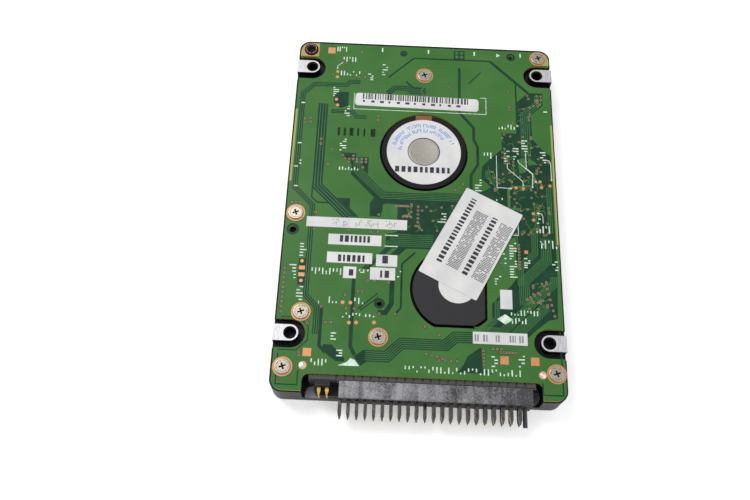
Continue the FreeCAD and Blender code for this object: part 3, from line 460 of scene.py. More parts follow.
gold = Finish("gold_plate", Metallic=1.0)
wear = gold.grain(1.5, 4.0)
_, y, _ = gold.axes()
shaded = gold.between(y, -48.6, -47.8)
gold.feed(Base_Color=gold.blend(shaded, gold.blend(wear, shade(206, 160, 62),
                                                   shade(244, 216, 120)), shade(40, 34, 26)),
          Roughness=gold.between(wear, 0.2, 0.8, 0.16, 0.34),
          Normal=gold.relief(wear, 0.008))
dress(gold, "jumper_pins")

# ---- circuit board --------------------------------------------------------------------
# Glass-fibre laminate with glossy green solder mask over a copper pour, cut to the
# casting's outline, so its sawn edge shows the yellowish glass.
board_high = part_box("circuit_board")[1]
board_face = board_high.z * 1000
board = Finish("green_solder_mask", Coat_Weight=0.1, Coat_Roughness=0.2,
               Specular_IOR_Level=0.15)
sawn = 1 - board.between(board.upward(), 0.4, 0.6)
cloudy = board.grain(0.09, 5.0)
glass = board.node("ShaderNodeTexWave", {"bands_direction": "X"},
                   {"Vector": board.place(), "Scale": 0.55, "Distortion": 0.4})
pour = board.blend(board.between(cloudy, 0.3, 0.7), shade(52, 98, 42), shade(62, 108, 50))
pour = board.blend(glass * 0.12, pour, shade(40, 88, 36))
board.feed(Base_Color=board.blend(sawn, pour, shade(142, 146, 70)),
           Roughness=board.between(cloudy, 0.3, 0.7, 0.34, 0.46),
           Normal=board.relief(board.grain(2.0, 3.0) * 0.5 + glass * 0.3, 0.008))
dress(board, "circuit_board")


def ribbon(path, width, low, high, shift=0.0):
    """Flat strip along a path, closed at both ends.  At each point its edges lie half a
    width either side of the path, along the mean of the two runs' normals divided by the
    cosine of half the turn; shift moves the strip sideways by the same rule."""
    path = np.asarray(path, float)
    runs = np.diff(path, axis=0)
    runs /= np.linalg.norm(runs, axis=1, keepdims=True)
    before = np.vstack([runs[:1], runs])
    lean = before + np.vstack([runs, runs[-1:]])
    lean /= np.linalg.norm(lean, axis=1, keepdims=True)
    side = np.stack([-lean[:, 1], lean[:, 0]], axis=1)
    side /= np.maximum(np.sum(lean * before, axis=1), 0.4)[:, None]
    left = path + side * (shift + width / 2)
    right_edge = path + side * (shift - width / 2)
    corners = np.stack([left, right_edge, right_edge, left], axis=1)
    heights = np.broadcast_to(np.array([low, low, high, high]), (len(path), 4))
    points = np.concatenate([corners, heights[:, :, None]], axis=2).reshape(-1, 3)
    first = 4 * np.arange(len(path) - 1)[:, None] + np.arange(4)
    second = 4 * np.arange(len(path) - 1)[:, None] + (np.arange(4) + 1) % 4
    walls = np.stack([first, first + 4, second + 4, second], axis=2).reshape(-1, 4)
    last = 4 * (len(path) - 1)
    caps = [[0, 1, 2, 3], [last + 3, last + 2, last + 1, last]]
    return points, walls.tolist() + caps


def slab(outline, low, high):
    """Flat plate: its outline at two heights, joined by upright walls."""
    outline = np.asarray(outline, float)
    count = len(outline)
    points = np.vstack([np.column_stack([outline, np.full(count, each)]) for each in (low, high)])
    ring = np.arange(count)
    after = (ring + 1) % count
    walls = np.stack([ring, after, after + count, ring + count], axis=1).tolist()
    return points, walls + [ring[::-1].tolist(), (ring + count).tolist()]


def box_slab(x0, y0, x1, y1, low, high):
    """Rectangular plate between two opposite corners."""
    return slab([(x0, y0), (x1, y0), (x1, y1), (x0, y1)], low, high)


def hoops(centres, r_in, r_out, low, high, sides=12):
    """Upright rings: round each centre the inner and outer circles at both heights."""
    centres = np.asarray(centres, float).reshape(-1, 2)
    turn = np.arange(sides) * 2 * np.pi / sides
    circle = np.stack([np.cos(turn), np.sin(turn)], axis=1)
    section = np.array([(r_in, low), (r_out, low), (r_out, high), (r_in, high)])
    flat = centres[:, None, None] + circle[None, :, None] * section[None, None, :, :1]
    heights = np.broadcast_to(section[None, None, :, 1:], flat.shape[:3] + (1,))
    points = np.concatenate([flat, heights], axis=3).reshape(-1, 3)
    hoop = np.arange(len(centres))[:, None, None] * 4 * sides
    here = np.arange(sides)[None, :, None] * 4
    there = (here + 4) % (4 * sides)
    corner = np.arange(4)[None, None]
    following = (corner + 1) % 4
    faces = np.stack([hoop + here + corner, hoop + there + corner, hoop + there + following,
                      hoop + here + following], axis=3)
    return points, faces.reshape(-1, 4).tolist()


def domes(centres, radius, low, high, sides=10, rise=0.0):
    """Round studs: a circle at both heights round each centre and a middle point that
    stands a rise above the upper one, with a flat floor."""
    centres = np.asarray(centres, float).reshape(-1, 2)
    turn = np.arange(sides) * 2 * np.pi / sides
    circle = radius * np.stack([np.cos(turn), np.sin(turn)], axis=1)
    rim = centres[:, None] + circle[None]
    layers = [np.concatenate([rim, np.full(rim.shape[:2] + (1,), each)], axis=2)
              for each in (low, high)]
    poles = [np.concatenate([centres, np.full((len(centres), 1), each)], axis=1)[:, None]
             for each in (low, high + rise)]
    points = np.concatenate(layers + poles, axis=1).reshape(-1, 3)
    stud = np.arange(len(centres))[:, None] * (2 * sides + 2)
    here = np.arange(sides)[None]
    there = (here + 1) % sides
    floor_pole, top_pole = 2 * sides, 2 * sides + 1
    walls = np.stack([stud + here, stud + there, stud + there + sides, stud + here + sides],
                     axis=2).reshape(-1, 4).tolist()
    under = np.stack([stud + there, stud + here, stud + floor_pole + 0 * here], axis=2)
    over = np.stack([stud + here + sides, stud + there + sides, stud + top_pole + 0 * here],
                    axis=2)
    return points, walls + under.reshape(-1, 3).tolist() + over.reshape(-1, 3).tolist()


def turned_by(shape, degrees, about):
    """A shape turned about an upright line."""
    points, faces = shape
    angle = math.radians(degrees)
    spin = np.array([[math.cos(angle), math.sin(angle)], [-math.sin(angle), math.cos(angle)]])
    moved = points.copy()
    moved[:, :2] = (points[:, :2] - about) @ spin + about
    return moved, faces


hair = 0.0005
hair_turns = 16


def piece(name, shapes, finish, body="chassis"):
    """One mesh from shapes in millimetres, riding on a CAD body unless that is None.
    Every shape stands a hair higher than the one before, in turns of sixteen, so that no
    two tops coincide."""
    starts = np.cumsum([0] + [len(points) for points, _ in shapes[:-1]])
    raised = [points + np.array((0, 0, hair)) * (k % hair_turns) * (points[:, 2:] > points[:, 2].min())
              for k, (points, _) in enumerate(shapes)]
    points = np.vstack(raised) / 1000
    faces = [[corner + int(start) for corner in face]
             for start, (_, each) in zip(starts, shapes) for face in each]
    mesh = bpy.data.meshes.new(name)
    mesh.from_pydata(points.tolist(), [], faces)
    mesh.validate()
    mesh.materials.append(finish.material)
    made = bpy.data.objects.new(name, mesh)
    bpy.context.collection.objects.link(made)
    if body:
        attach(made, body)
    return made


# ---- cleared areas --------------------------------------------------------------------
# Where the copper pour is etched away, the mask lies on bare laminate: darker and lower.
# The tracks run in these clearings; places are in millimetres from the case's middle.
bare = Finish("mask_on_laminate", Coat_Weight=0.05, Coat_Roughness=0.2, Specular_IOR_Level=0.12)
depth = bare.grain(0.25, 5.0)
bare.feed(Base_Color=bare.blend(bare.between(depth, 0.3, 0.7), shade(16, 50, 34),
                                shade(28, 64, 44)),
          Roughness=bare.between(depth, 0.3, 0.7, 0.3, 0.42),
          Normal=bare.relief(bare.grain(2.5), 0.006))
clear_top = board_face + 0.004
sunk = board_face - 0.05
clearings = [
    [(24.8, 22.0), (20.8, 22.0), (20.8, 17.0), (17.5, 13.8), (15.5, 11.5), (15.2, 8.0),
     (17.7, 5.6), (15.8, 4.2), (13.0, 3.2), (3.0, 3.3), (-1.0, 2.9), (-10.2, 3.2),
     (-12.4, 1.0), (-13.3, -0.4), (-13.3, -4.2), (-10.5, -4.3), (-9.6, -0.5), (-6.2, -0.5),
     (-6.2, -8.4), (-8.9, -9.0), (-8.9, -12.4), (-10.0, -13.8), (-14.6, -18.6),
     (-13.0, -18.8), (-7.2, -12.8), (-1.2, -12.8), (11.6, -12.8), (19.4, -9.0),
     (23.6, -8.5), (23.6, -19.5), (22.3, -21.5), (19.4, -24.3), (17.4, -26.5),
     (17.4, -30.5), (14.5, -33.4), (12.6, -34.0), (12.6, -36.8), (24.6, -36.8),
     (25.8, -34.8), (28.5, -32.3), (31.0, -30.2), (33.2, -29.6), (33.7, -18.0),
     (33.6, 15.5), (31.5, 17.3), (29.0, 20.5), (28.9, 27.6), (32.4, 31.4), (32.3, 35.1),
     (28.3, 35.1), (24.8, 31.5)],
    [(-21.6, 14.0), (-17.5, 14.0), (-17.5, 12.9), (-14.2, 12.9), (-14.2, 7.5), (-9.9, 3.2),
     (-12.2, 1.0), (-18.6, 7.6), (-18.6, 10.6)],
    [(-21.9, 0.6), (-18.4, 0.6), (-18.4, -2.2), (-16.0, -4.6), (-18.6, -4.6)],
    [(-24.4, 33.0), (-20.4, 33.0), (-20.4, 28.6), (-22.6, 27.8), (-24.4, 29.6)],
    [(10.4, -42.0), (11.4, -39.8), (14.6, -37.5), (14.9, -42.6), (17.4, -43.9), (9.0, -43.9)],
    [(-30.2, -16.6), (-28.4, -16.6), (-28.4, -23.6), (-30.2, -23.6)],
    [(-22.9, -38.4), (-20.8, -38.4), (-17.6, -41.6), (-17.6, -42.4), (-19.6, -42.4),
     (-22.9, -40.0)],
    [(8.1, 45.3), (11.1, 45.3), (11.1, 48.2), (8.1, 48.2)],
]
clearing_shapes = [slab(outline, sunk, clear_top) for outline in clearings]
channels = [
    ([(-27.1, 29.0), (-27.1, 3.9), (-18.5, -4.7)], 2.6),
    ([(-17.5, 36.4), (-20.2, 36.4), (-21.3, 35.3), (-29.8, 35.2), (-32.8, 32.2), (-32.8, 3.2),
      (-27.9, -1.8), (-27.9, -26.2), (-25.0, -29.2), (-25.0, -36.0)], 1.3),
    ([(-28.3, 4.5), (-28.3, 0.5), (-26.8, -0.9), (-23.6, -0.9), (-19.9, -4.6)], 0.4),
    ([(-9.9, 38.3), (-3.0, 45.1), (18.5, 45.1)], 0.45),
    ([(18.2, 45.0), (28.3, 35.1)], 0.8),
    ([(25.0, 38.2), (25.0, 21.0)], 0.4),
    ([(9.6, 42.4), (9.6, 27.9), (13.4, 23.2), (13.4, 19.5), (14.4, 17.3), (14.4, 12.0),
      (12.6, 8.8), (12.6, 3.0)], 0.75),
    ([(12.1, 37.3), (15.5, 41.3)], 0.3),
    ([(-9.8, 33.1), (-8.0, 35.0), (-4.5, 35.0), (-3.4, 34.0), (0.4, 34.0)], 1.5),
    ([(-5.0, 37.2), (-2.9, 35.2), (0.4, 35.2)], 0.5),
    ([(-24.8, 26.7), (-19.0, 26.7), (-18.0, 25.2), (-15.4, 25.2)], 1.2),
    ([(-16.4, -21.4), (-16.4, -38.6), (-15.3, -40.7)], 0.9),
    ([(-7.0, -21.4), (-7.0, -27.5), (-8.4, -29.9), (-10.2, -29.9)], 1.2),
    ([(-1.5, -13.8), (-4.7, -17.0), (-4.7, -28.6), (-6.0, -30.1)], 0.5),
    ([(-4.0, -12.0), (-8.8, -16.8)], 1.6),
    ([(-15.0, -29.2), (-10.4, -25.0)], 0.3),
    ([(-14.5, -29.6), (-10.2, -26.0)], 0.3),
    ([(13.0, -35.3), (8.5, -35.3), (6.2, -37.4), (-4.3, -37.4), (-7.7, -40.8), (-12.8, -40.8),
      (-14.6, -42.2)], 2.8),
    ([(-23.8, -29.0), (-23.8, -38.8), (-22.2, -40.4)], 0.8),
    ([(-33.4, -31.9), (-29.0, -31.9), (-26.6, -34.2), (-26.6, -37.6), (-29.2, -40.1),
      (-33.4, -40.1)], 0.25),
    ([(-33.3, -41.0), (-33.3, -48.4), (-28.3, -48.4), (-28.3, -45.0)], 0.3),
    ([(28.9, -45.6), (28.9, -48.4), (33.6, -48.4), (33.6, -33.0)], 0.3),
]
clearing_shapes += [ribbon(path, width, sunk, clear_top) for path, width in channels]
hole_places = [(-32.4, -8.7, 0.95), (0.2, -4.1, 1.1), (-9.9, -27.6, 0.7), (23.95, 46.8, 0.6),
               (-5.85, 46.5, 0.35)]
clearing_shapes += [hoops([(hx, hy)], hr + 0.02, hr + 0.65, sunk, clear_top + 0.001, 32)
                    for hx, hy, hr in hole_places]
piece("board_clearings", clearing_shapes, bare)

# ---- tracks ---------------------------------------------------------------------------
# Etched copper under the mask, a little proud and paler than the laminate round it.
track = Finish("mask_on_track", Coat_Weight=0.1, Coat_Roughness=0.2, Specular_IOR_Level=0.15)
depth = track.grain(0.3, 4.0)
track.feed(Base_Color=track.blend(depth, shade(50, 96, 50), shade(66, 114, 62)),
           Roughness=track.between(depth, 0.3, 0.7, 0.3, 0.42),
           Normal=track.relief(track.grain(2.5), 0.006))
track_top = board_face + 0.016
track_width = 0.2


def loom(path, count, pitch, width=track_width):
    """Parallel tracks: copies of one path shifted sideways by equal steps about it."""
    shifts = (np.arange(count) - (count - 1) / 2) * pitch
    return [ribbon(path, width, sunk, track_top, shift) for shift in shifts]


looms = [
    ([(-27.1, 28.8), (-27.1, 3.9), (-18.6, -4.6)], 3, 0.75),
    ([(-17.6, 36.4), (-20.2, 36.4), (-21.3, 35.3), (-29.8, 35.2), (-32.8, 32.2), (-32.8, 3.2),
      (-27.9, -1.8), (-27.9, -26.2), (-25.0, -29.2), (-25.0, -36.0)], 2, 0.55),
    ([(-9.6, 33.3), (-8.0, 35.0), (-4.5, 35.0), (-3.4, 34.0), (0.3, 34.0)], 2, 0.6),
    ([(-24.6, 26.7), (-19.0, 26.7), (-18.0, 25.2), (-15.5, 25.2)], 2, 0.5),
    ([(-17.0, 12.6), (-17.0, 9.0), (-10.0, 2.0), (12.5, 2.0)], 5, 0.48),
    ([(-7.9, -10.6), (3.0, -10.6)], 7, 0.52),
    ([(-8.0, -10.9), (-13.6, -17.9)], 2, 0.5),
    ([(12.8, -35.3), (8.5, -35.3), (6.2, -37.4), (-4.3, -37.4), (-7.7, -40.8), (-12.8, -40.8)],
     5, 0.5),
    ([(31.2, 34.2), (31.2, 31.6), (27.2, 27.6), (27.2, 15.0)], 5, 0.55),
    ([(28.4, -7.0), (28.4, -12.6), (24.6, -16.4), (24.6, -21.5)], 4, 0.45),
    ([(31.2, -8.5), (31.2, -14.5), (25.4, -20.3), (25.4, -26.5)], 6, 0.45),
    ([(32.9, -18.8), (32.9, -20.4), (19.8, -33.5), (13.0, -33.5)], 5, 0.45),
    ([(30.6, -26.6), (22.0, -35.2), (12.8, -35.2)], 6, 0.45),
    ([(18.6, -25.6), (18.6, -30.2), (15.0, -33.8), (12.8, -33.8)], 3, 0.45),
    ([(32.6, 6.0), (32.6, -7.0)], 3, 0.5),
    ([(23.9, -7.2), (23.9, -12.0)], 2, 0.45),
    ([(29.2, 1.2), (29.2, -5.5), (27.6, -7.1)], 3, 0.45),
    ([(17.0, 10.6), (17.0, 8.6), (19.0, 6.6)], 3, 0.5),
]
track_shapes = [shape for path, count, pitch in looms for shape in loom(path, count, pitch)]
islands = [
    [(24.8, 14.0), (27.0, 14.8), (27.0, 10.5), (25.3, 9.8)],
    [(27.7, 14.8), (30.2, 12.8), (27.6, 12.5)],
    [(20.0, -12.4), (23.3, -11.6), (23.3, -17.4), (21.4, -18.6), (20.0, -16.6)],
    [(23.0, 6.1), (28.2, 6.6), (28.4, 9.8), (29.2, 9.8), (29.2, 7.2), (28.2, 6.1),
     (23.6, 5.4)],
    [(21.9, 5.2), (22.6, 5.2), (22.6, -0.2), (25.4, -0.2), (25.4, -0.8), (21.9, -0.8)],
    [(-10.0, -0.8), (-6.4, -0.8), (-6.4, -4.3), (-10.0, -4.3)],
    [(8.5, 45.7), (9.4, 45.7), (9.4, 46.6), (8.5, 46.6)],
    [(9.8, 45.7), (10.7, 45.7), (10.7, 46.6), (9.8, 46.6)],
    [(8.5, 47.0), (9.4, 47.0), (9.4, 47.9), (8.5, 47.9)],
    [(9.8, 47.0), (10.7, 47.0), (10.7, 47.9), (9.8, 47.9)],
]
track_shapes += [slab(outline, sunk, track_top - 0.002) for outline in islands]

# Short links between vias fill the busy clearings: each leaves a via at a right angle,
# turns through 45 degrees and ends in another.
chance = np.random.RandomState(11)


def inside(places, outline):
    """Even-odd rule: a place is inside when a line from it crosses the outline an odd
    number of times."""
    start = np.asarray(outline, float)
    end = np.roll(start, -1, axis=0)
    px, py = places[:, :1], places[:, 1:]
    spans = (start[:, 1] > py) != (end[:, 1] > py)
    with np.errstate(divide="ignore", invalid="ignore"):
        cross = start[:, 0] + (py - start[:, 1]) * (end[:, 0] - start[:, 0]) / (
            end[:, 1] - start[:, 1])
    return np.sum(spans & (px < cross), axis=1) % 2 == 1


grid = np.stack(np.meshgrid(np.arange(-11.5, 33.5, 0.55), np.arange(-29.0, 34.5, 0.55)),
                axis=-1).reshape(-1, 2)
grid = grid[inside(grid, clearings[0])]
east, north = grid[:, 0], grid[:, 1]
busy = (east > 14.8) & (north > -8.0) | (north < 0) & (north > -8.0) & (east < 9.0) | (
    (east > 26.0) & (north < -20.0))
busy |= (east > 28.5) & (north > 28.0)
grid = grid[busy & (np.hypot(east - 0.2, north + 4.1) > 2.0)]
chosen = chance.permutation(len(grid))[:250]
via_places = grid[chosen]
link_angles = chance.randint(0, 4, len(via_places)) * (np.pi / 2)
for (vx, vy), angle in zip(via_places[::2], link_angles[::2]):
    step_one = np.array((math.cos(angle), math.sin(angle))) * 0.9
    bend = angle + math.pi / 4
    step_two = step_one + np.array((math.cos(bend), math.sin(bend))) * 0.9
    path = np.array([(0, 0), step_one, step_two]) + (vx, vy)
    if inside(path, clearings[0]).all():
        track_shapes.append(ribbon(path, track_width, sunk, track_top + 0.002))
piece("board_tracks", track_shapes, track)

# ---- vias, test points and rings ------------------------------------------------------
# Bare copper with a preservative film, pinkish gold: test squares and dots, rings round
# the screws, and the lands of the plated holes.
copper = Finish("bare_copper", Metallic=0.55)
bloom = copper.grain(1.4, 5.0)
copper.follow(bloom, (182, 122, 80), (206, 148, 102), 0.36, 0.55, 0.006)
copper_top = board_face + 0.030
squares = [(-25.9, 46.6), (-26.5, -40.5), (20.1, -40.5), (27.3, -40.5)]
copper_shapes = [box_slab(sx - 1, sy - 1, sx + 1, sy + 1, sunk, copper_top)
                 for sx, sy in squares]
copper_shapes += [box_slab(sx - 0.75, sy - 0.5, sx + 0.75, sy + 0.5, sunk, copper_top)
                  for sx, sy in ((-29.3, -19.1), (-29.3, -20.9))]
copper_shapes.append(box_slab(25.75, -12.85, 26.65, -11.95, sunk, copper_top))
dots = [(-23.9, 39.6), (-23.9, 37.8), (-23.7, 30.5), (-23.3, 28.7), (-18.8, -27.7),
        (-16.9, -27.7), (-17.0, -32.8), (-15.3, -32.7), (-11.0, -32.5), (-29.4, -17.3),
        (-29.3, -22.5), (24.2, 5.6), (26.1, 5.5), (30.5, 7.7), (30.8, 6.0), (33.0, 6.6),
        (28.4, -1.6), (28.4, -3.4)]
copper_shapes.append(domes(dots, 0.46, sunk, copper_top, 16))
screw_places = [(-31.6, 46.6), (0.03, 39.4), (31.5, 46.6), (-32.0, -4.1), (-28.7, -30.5),
                (-9.9, -36.1), (-32.0, -44.2), (32.3, -43.3)]
copper_shapes.append(hoops(screw_places[:1], 1.6, 2.3, sunk, copper_top, 48))
copper_shapes.append(hoops(screw_places[1:], 1.9, 2.36, sunk, copper_top, 48))
piece("copper_lands", copper_shapes, copper)

bore, link_rim, via_rim = 0.18, 0.3, 0.32
dull = Finish("masked_via", Metallic=0.1)
bloom = dull.grain(1.0, 4.0)
dull.follow(bloom, (118, 104, 76), (176, 142, 108), 0.4, 0.6)
pale = via_places[chance.rand(len(via_places)) > 0.35]
scattered = [(-27.0, 17.9), (-27.0, 16.4), (-24.0, 15.0), (-24.8, 10.3), (-21.0, 13.3),
             (-18.2, 13.2), (-20.3, 12.2), (-19.3, 12.2), (-18.3, 12.2), (-17.2, 12.3),
             (-16.0, 12.3), (-14.9, 12.3), (-17.2, 11.4), (-16.0, 11.4), (-14.9, 11.4),
             (-19.3, 11.3), (-15.6, 9.8), (-30.2, 24.2), (-30.2, 23.1), (-31.8, 24.0),
             (-31.8, 22.7), (-12.2, 25.6), (-12.2, 24.4), (22.9, 35.3), (23.2, 30.3),
             (23.1, 29.4), (30.7, 34.2), (30.7, 33.0), (30.7, 31.9), (31.8, 34.2),
             (31.8, 33.0), (28.4, 33.2), (28.3, 27.3), (28.3, 26.4), (24.0, 25.4),
             (6.7, 35.9), (-17.6, 46.5), (-21.7, 42.4), (-25.2, 38.5), (-17.9, 38.0),
             (-16.3, 38.1), (-33.2, -1.2), (-32.1, -1.2), (-31.0, -1.2), (-27.0, -3.8),
             (-27.0, -8.5), (-18.4, -8.4), (-12.8, -8.6), (-10.9, -8.5), (-22.6, -32.9),
             (-21.3, -32.9), (-26.9, -33.3), (-13.0, -21.8), (-11.3, -21.8), (-7.8, -22.1),
             (-18.3, -25.7), (-15.2, -24.7), (-14.2, -24.7), (-9.8, -30.2), (-6.0, -30.1),
             (-23.9, -29.0), (-28.4, -40.5), (-28.4, -41.3), (-17.9, -29.2), (-15.9, -29.2),
             (4.6, -35.0), (1.3, -33.0), (8.4, 4.3), (10.5, 6.2), (22.6, -11.8), (19.8, -15.6)]
for row_x, row_y, count, step_x, step_y in (
        (-33.5, -19.4, 10, 0.0, -1.25), (19.3, -38.6, 6, 0.72, 0.0), (24.4, -10.6, 8, 0.0, -0.9),
        (-6.6, -1.0, 6, 0.6, 0.0), (-4.8, -4.0, 3, 1.0, 0.0), (17.4, -37.8, 3, 1.0, 0.0),
        (1.6, -39.8, 4, 1.3, -0.3), (4.6, -41.2, 4, 1.45, 0.0), (15.2, -38.4, 5, 0.0, -0.85),
        (26.0, -25.0, 4, 0.9, 0.6), (31.0, -22.0, 6, 0.3, -1.4), (-1.0, -1.0, 6, 0.0, -1.1)):
    scattered += [(row_x + k * step_x, row_y + k * step_y) for k in range(count)]
piece("via_clearances", [hoops(scattered, link_rim, 0.46, sunk, clear_top + 0.002, 12)], bare)
piece("via_lands", [hoops(pale, bore, link_rim, sunk, copper_top - 0.002, 10),
                    hoops(scattered, bore, via_rim, sunk, copper_top - 0.002, 12)],
      dull)
# The bores are flat discs painted dark: painted shade standing for the depth of each hole.
via_hole_shade = Finish("painted_via_hole")
dark = via_hole_shade.grain(3.0)
via_hole_shade.follow(dark, (18, 22, 18), (44, 40, 32), 0.5, 0.8)
piece("via_bores", [domes(via_places, bore, sunk, copper_top - 0.006, 8),
                    domes(scattered, bore, sunk, copper_top - 0.006, 8)], via_hole_shade)

# Two anchors of the connector, filled with bright solder that stands up in a dome.
tin = Finish("bright_solder", Metallic=0.9)
ripple = tin.grain(1.5, 3.0)
tin.follow(ripple, (196, 190, 180), (236, 230, 220), 0.18, 0.34, 0.02)
anchor_places = [(-27.3, -43.7), (29.0, -43.7)]
piece("anchor_solder", [domes(anchor_places, 0.72, sunk, board_face + 0.05, 20, 0.16)],
      tin)
piece("anchor_lands", [hoops(anchor_places, 0.72, 0.98, sunk, copper_top, 24)],
      copper)

# ---- bare laminate --------------------------------------------------------------------
# The mask stops short at the far corners and along the long edges, where the yellowish
# glass-fibre shows.
laminate = Finish("bare_laminate", Roughness=0.55)
cloth = laminate.node("ShaderNodeTexWave", {"bands_direction": "DIAGONAL"},
                      {"Vector": laminate.place(), "Scale": 1.2, "Distortion": 0.5})
laminate.feed(Base_Color=laminate.blend(cloth, shade(128, 136, 62), shade(158, 158, 84)),
              Normal=laminate.relief(cloth, 0.01))
edge_x = board_high.x * 1000
edge_y = board_high.y * 1000
strip_top = board_face + 0.004
piece("bare_margins", [
    slab([(-edge_x, 44.4), (-29.4, 44.4), (-29.4, edge_y), (-edge_x + 2.6, edge_y),
          (-edge_x + 0.8, edge_y - 0.8), (-edge_x, edge_y - 2.6)], sunk, strip_top),
    slab([(edge_x, 44.4), (edge_x, edge_y - 2.6), (edge_x - 0.8, edge_y - 0.8),
          (edge_x - 2.6, edge_y), (30.6, edge_y), (32.8, 44.4)], sunk, strip_top),
    box_slab(-edge_x, 5.0, -edge_x + 0.55, 27.0, sunk, strip_top),
    box_slab(edge_x - 0.5, -10.0, edge_x, 25.0, sunk, strip_top)], laminate)

# ---- silk screen ----------------------------------------------------------------------
# White ink printed over the mask: outlines, leaders with arrow ends, and short strokes
# that stand where a real board has its reference marks.
ink = Finish("white_screen_ink")
thin = ink.grain(1.6, 5.0)
ink.feed(Base_Color=ink.blend(ink.between(thin, 0.4, 0.65), shade(172, 196, 174),
                              shade(214, 226, 216)),
         Roughness=ink.between(thin, 0.2, 0.8, 0.6, 0.8))
ink_top = board_face + 0.036
stroke = 0.3
leader_width = 0.16


def strokes(x0, x1, y0, y1, count, seed):
    """Row of strokes spread evenly along the longer side of a box, each across the whole
    of the shorter side or a part of it at one end, as the seed falls."""
    draw = np.random.RandomState(seed)
    across = x1 - x0 > y1 - y0
    near_end, far_end = (y0, y1) if across else (x0, x1)
    places = np.linspace((x0 if across else y0) + stroke / 2,
                         (x1 if across else y1) - stroke / 2, count)
    shapes = []
    for spot in places:
        tall = (far_end - near_end) * draw.choice([1.0, 0.55, 0.55, 0.3])
        low, high = (near_end, near_end + tall) if draw.rand() < 0.5 else (far_end - tall, far_end)
        ends = [(spot, low), (spot, high)] if across else [(low, spot), (high, spot)]
        shapes.append(ribbon(ends, stroke, sunk, ink_top))
    return shapes


reference_marks = [
    (-24.4, -21.7, 46.4, 48.0, 5), (-22.5, -19.0, 43.0, 44.6, 5), (-23.0, -17.7, 38.4, 39.9, 7),
    (-11.6, -10.1, 39.0, 42.6, 5), (-15.5, -14.0, 37.2, 39.3, 4), (-24.7, -23.2, 31.5, 34.4, 5),
    (-21.3, -19.9, 25.3, 28.5, 5), (20.1, 25.2, 23.2, 24.7, 7), (-22.0, -20.3, 14.6, 18.2, 6),
    (-21.8, -16.8, 8.8, 10.5, 7), (-33.5, -31.7, 9.2, 11.3, 3), (21.3, 22.8, 13.3, 16.6, 5),
    (23.7, 25.2, 14.0, 17.5, 5), (26.0, 27.6, 16.5, 20.0, 5), (30.8, 32.3, 13.3, 16.6, 5),
    (13.6, 15.3, 4.2, 7.6, 5), (19.0, 20.7, 1.6, 2.5, 2), (29.0, 32.4, -7.0, -5.0, 5),
    (29.2, 30.2, -4.4, -2.9, 2), (-30.2, -28.5, -16.0, -12.5, 5), (-32.4, -30.7, -22.0, -18.3, 5),
    (-30.2, -28.6, -27.6, -24.0, 5), (-26.9, -19.6, -20.6, -18.9, 9), (-15.2, -12.9, -20.6, -18.9, 3),
    (-5.8, -4.9, -20.6, -18.9, 2), (-22.2, -20.2, -28.0, -26.4, 3), (-16.0, -13.8, -28.0, -26.4, 3),
    (-18.7, -14.4, -31.6, -30.3, 6), (-13.2, -11.0, -31.2, -29.9, 3), (-25.5, -21.8, -43.6, -42.0, 5),
    (-3.4, 23.8, -44.3, -42.8, 30), (17.0, 18.5, -42.2, -39.6, 4), (23.4, 24.9, -42.0, -39.2, 4),
    (22.0, 23.8, -19.4, -10.0, 14), (25.6, 27.1, -16.7, -14.0, 5), (21.9, 28.5, -29.2, -27.9, 9),
    (22.1, 25.6, -31.3, -29.9, 5), (18.2, 19.8, -21.4, -19.1, 4), (32.5, 34.0, -17.1, -14.6, 4),
    (30.0, 34.0, -11.2, -9.0, 5), (20.3, 21.2, -15.8, -13.0, 3), (4.0, 6.2, -5.2, -2.6, 4),
    (16.0, 18.0, 14.0, 15.8, 3), (-21.2, -19.9, -37.2, -35.4, 3), (-19.6, -18.2, -41.2, -39.6, 3),
]
ink_shapes = [shape for k, mark in enumerate(reference_marks)
              for shape in strokes(*mark[:4], mark[4], k)]
leaders = [
    [(-22.5, 42.8), (-24.0, 41.5), (-24.0, 40.7)],
    [(19.3, 15.0), (19.3, 5.5), (22.8, 5.4)],
    [(22.1, 12.9), (22.1, 11.3), (26.0, 7.6), (26.1, 6.6)],
    [(24.9, 13.9), (25.0, 13.3), (28.5, 9.9)],
    [(27.0, 16.2), (27.1, 11.5), (28.7, 9.9), (28.5, 6.2)],
    [(32.3, 14.3), (33.1, 14.1), (33.5, 13.3), (33.5, 8.3)],
    [(29.6, -1.4), (30.5, -1.6), (30.8, -2.4), (30.8, -4.2)],
    [(-18.9, 32.8), (-18.9, 27.7), (16.8, 27.6), (16.8, 32.8), (15.2, 32.8)],
    [(24.4, -4.6), (24.4, -7.9), (22.9, -7.9)],
    [(29.8, -9.2), (30.6, -10.2)],
    [(-24.6, -27.5), (-24.6, -28.3)],
]
ink_shapes += [ribbon(path, leader_width, sunk, ink_top) for path in leaders]
ink_shapes.append(domes([(22.9, 5.4), (26.1, 6.5), (28.5, 6.1), (33.5, 8.3), (-24.0, 40.7)], 0.34,
                        sunk, ink_top, 3))
ink_shapes.append(domes([(29.4, 7.7), (29.6, -1.5)], 0.3, sunk, ink_top, 12))
for tick_x in (-11.8, 1.0, 13.8, 26.6):
    ink_shapes.append(box_slab(tick_x - 0.2, 46.8, tick_x + 0.2, 48.1, sunk, ink_top))
for tick_x, tick_y in ((-32.6, 29.0), (-32.6, 16.4), (-32.6, 3.6), (32.8, 29.2)):
    ink_shapes.append(box_slab(tick_x - 0.5, tick_y - 0.17, tick_x + 0.5, tick_y + 0.17,
                               sunk, ink_top))
ink_shapes.append(domes([(20.3, 47.2)], 0.7, sunk, ink_top, 3))
ink_shapes += [ribbon(path, 0.25, sunk, ink_top) for path in (
    [(-9.2, -9.4), (-5.9, -9.4)], [(-9.2, -12.4), (-5.9, -12.4)],
    [(-14.9, -19.7), (-14.0, -19.7)])]
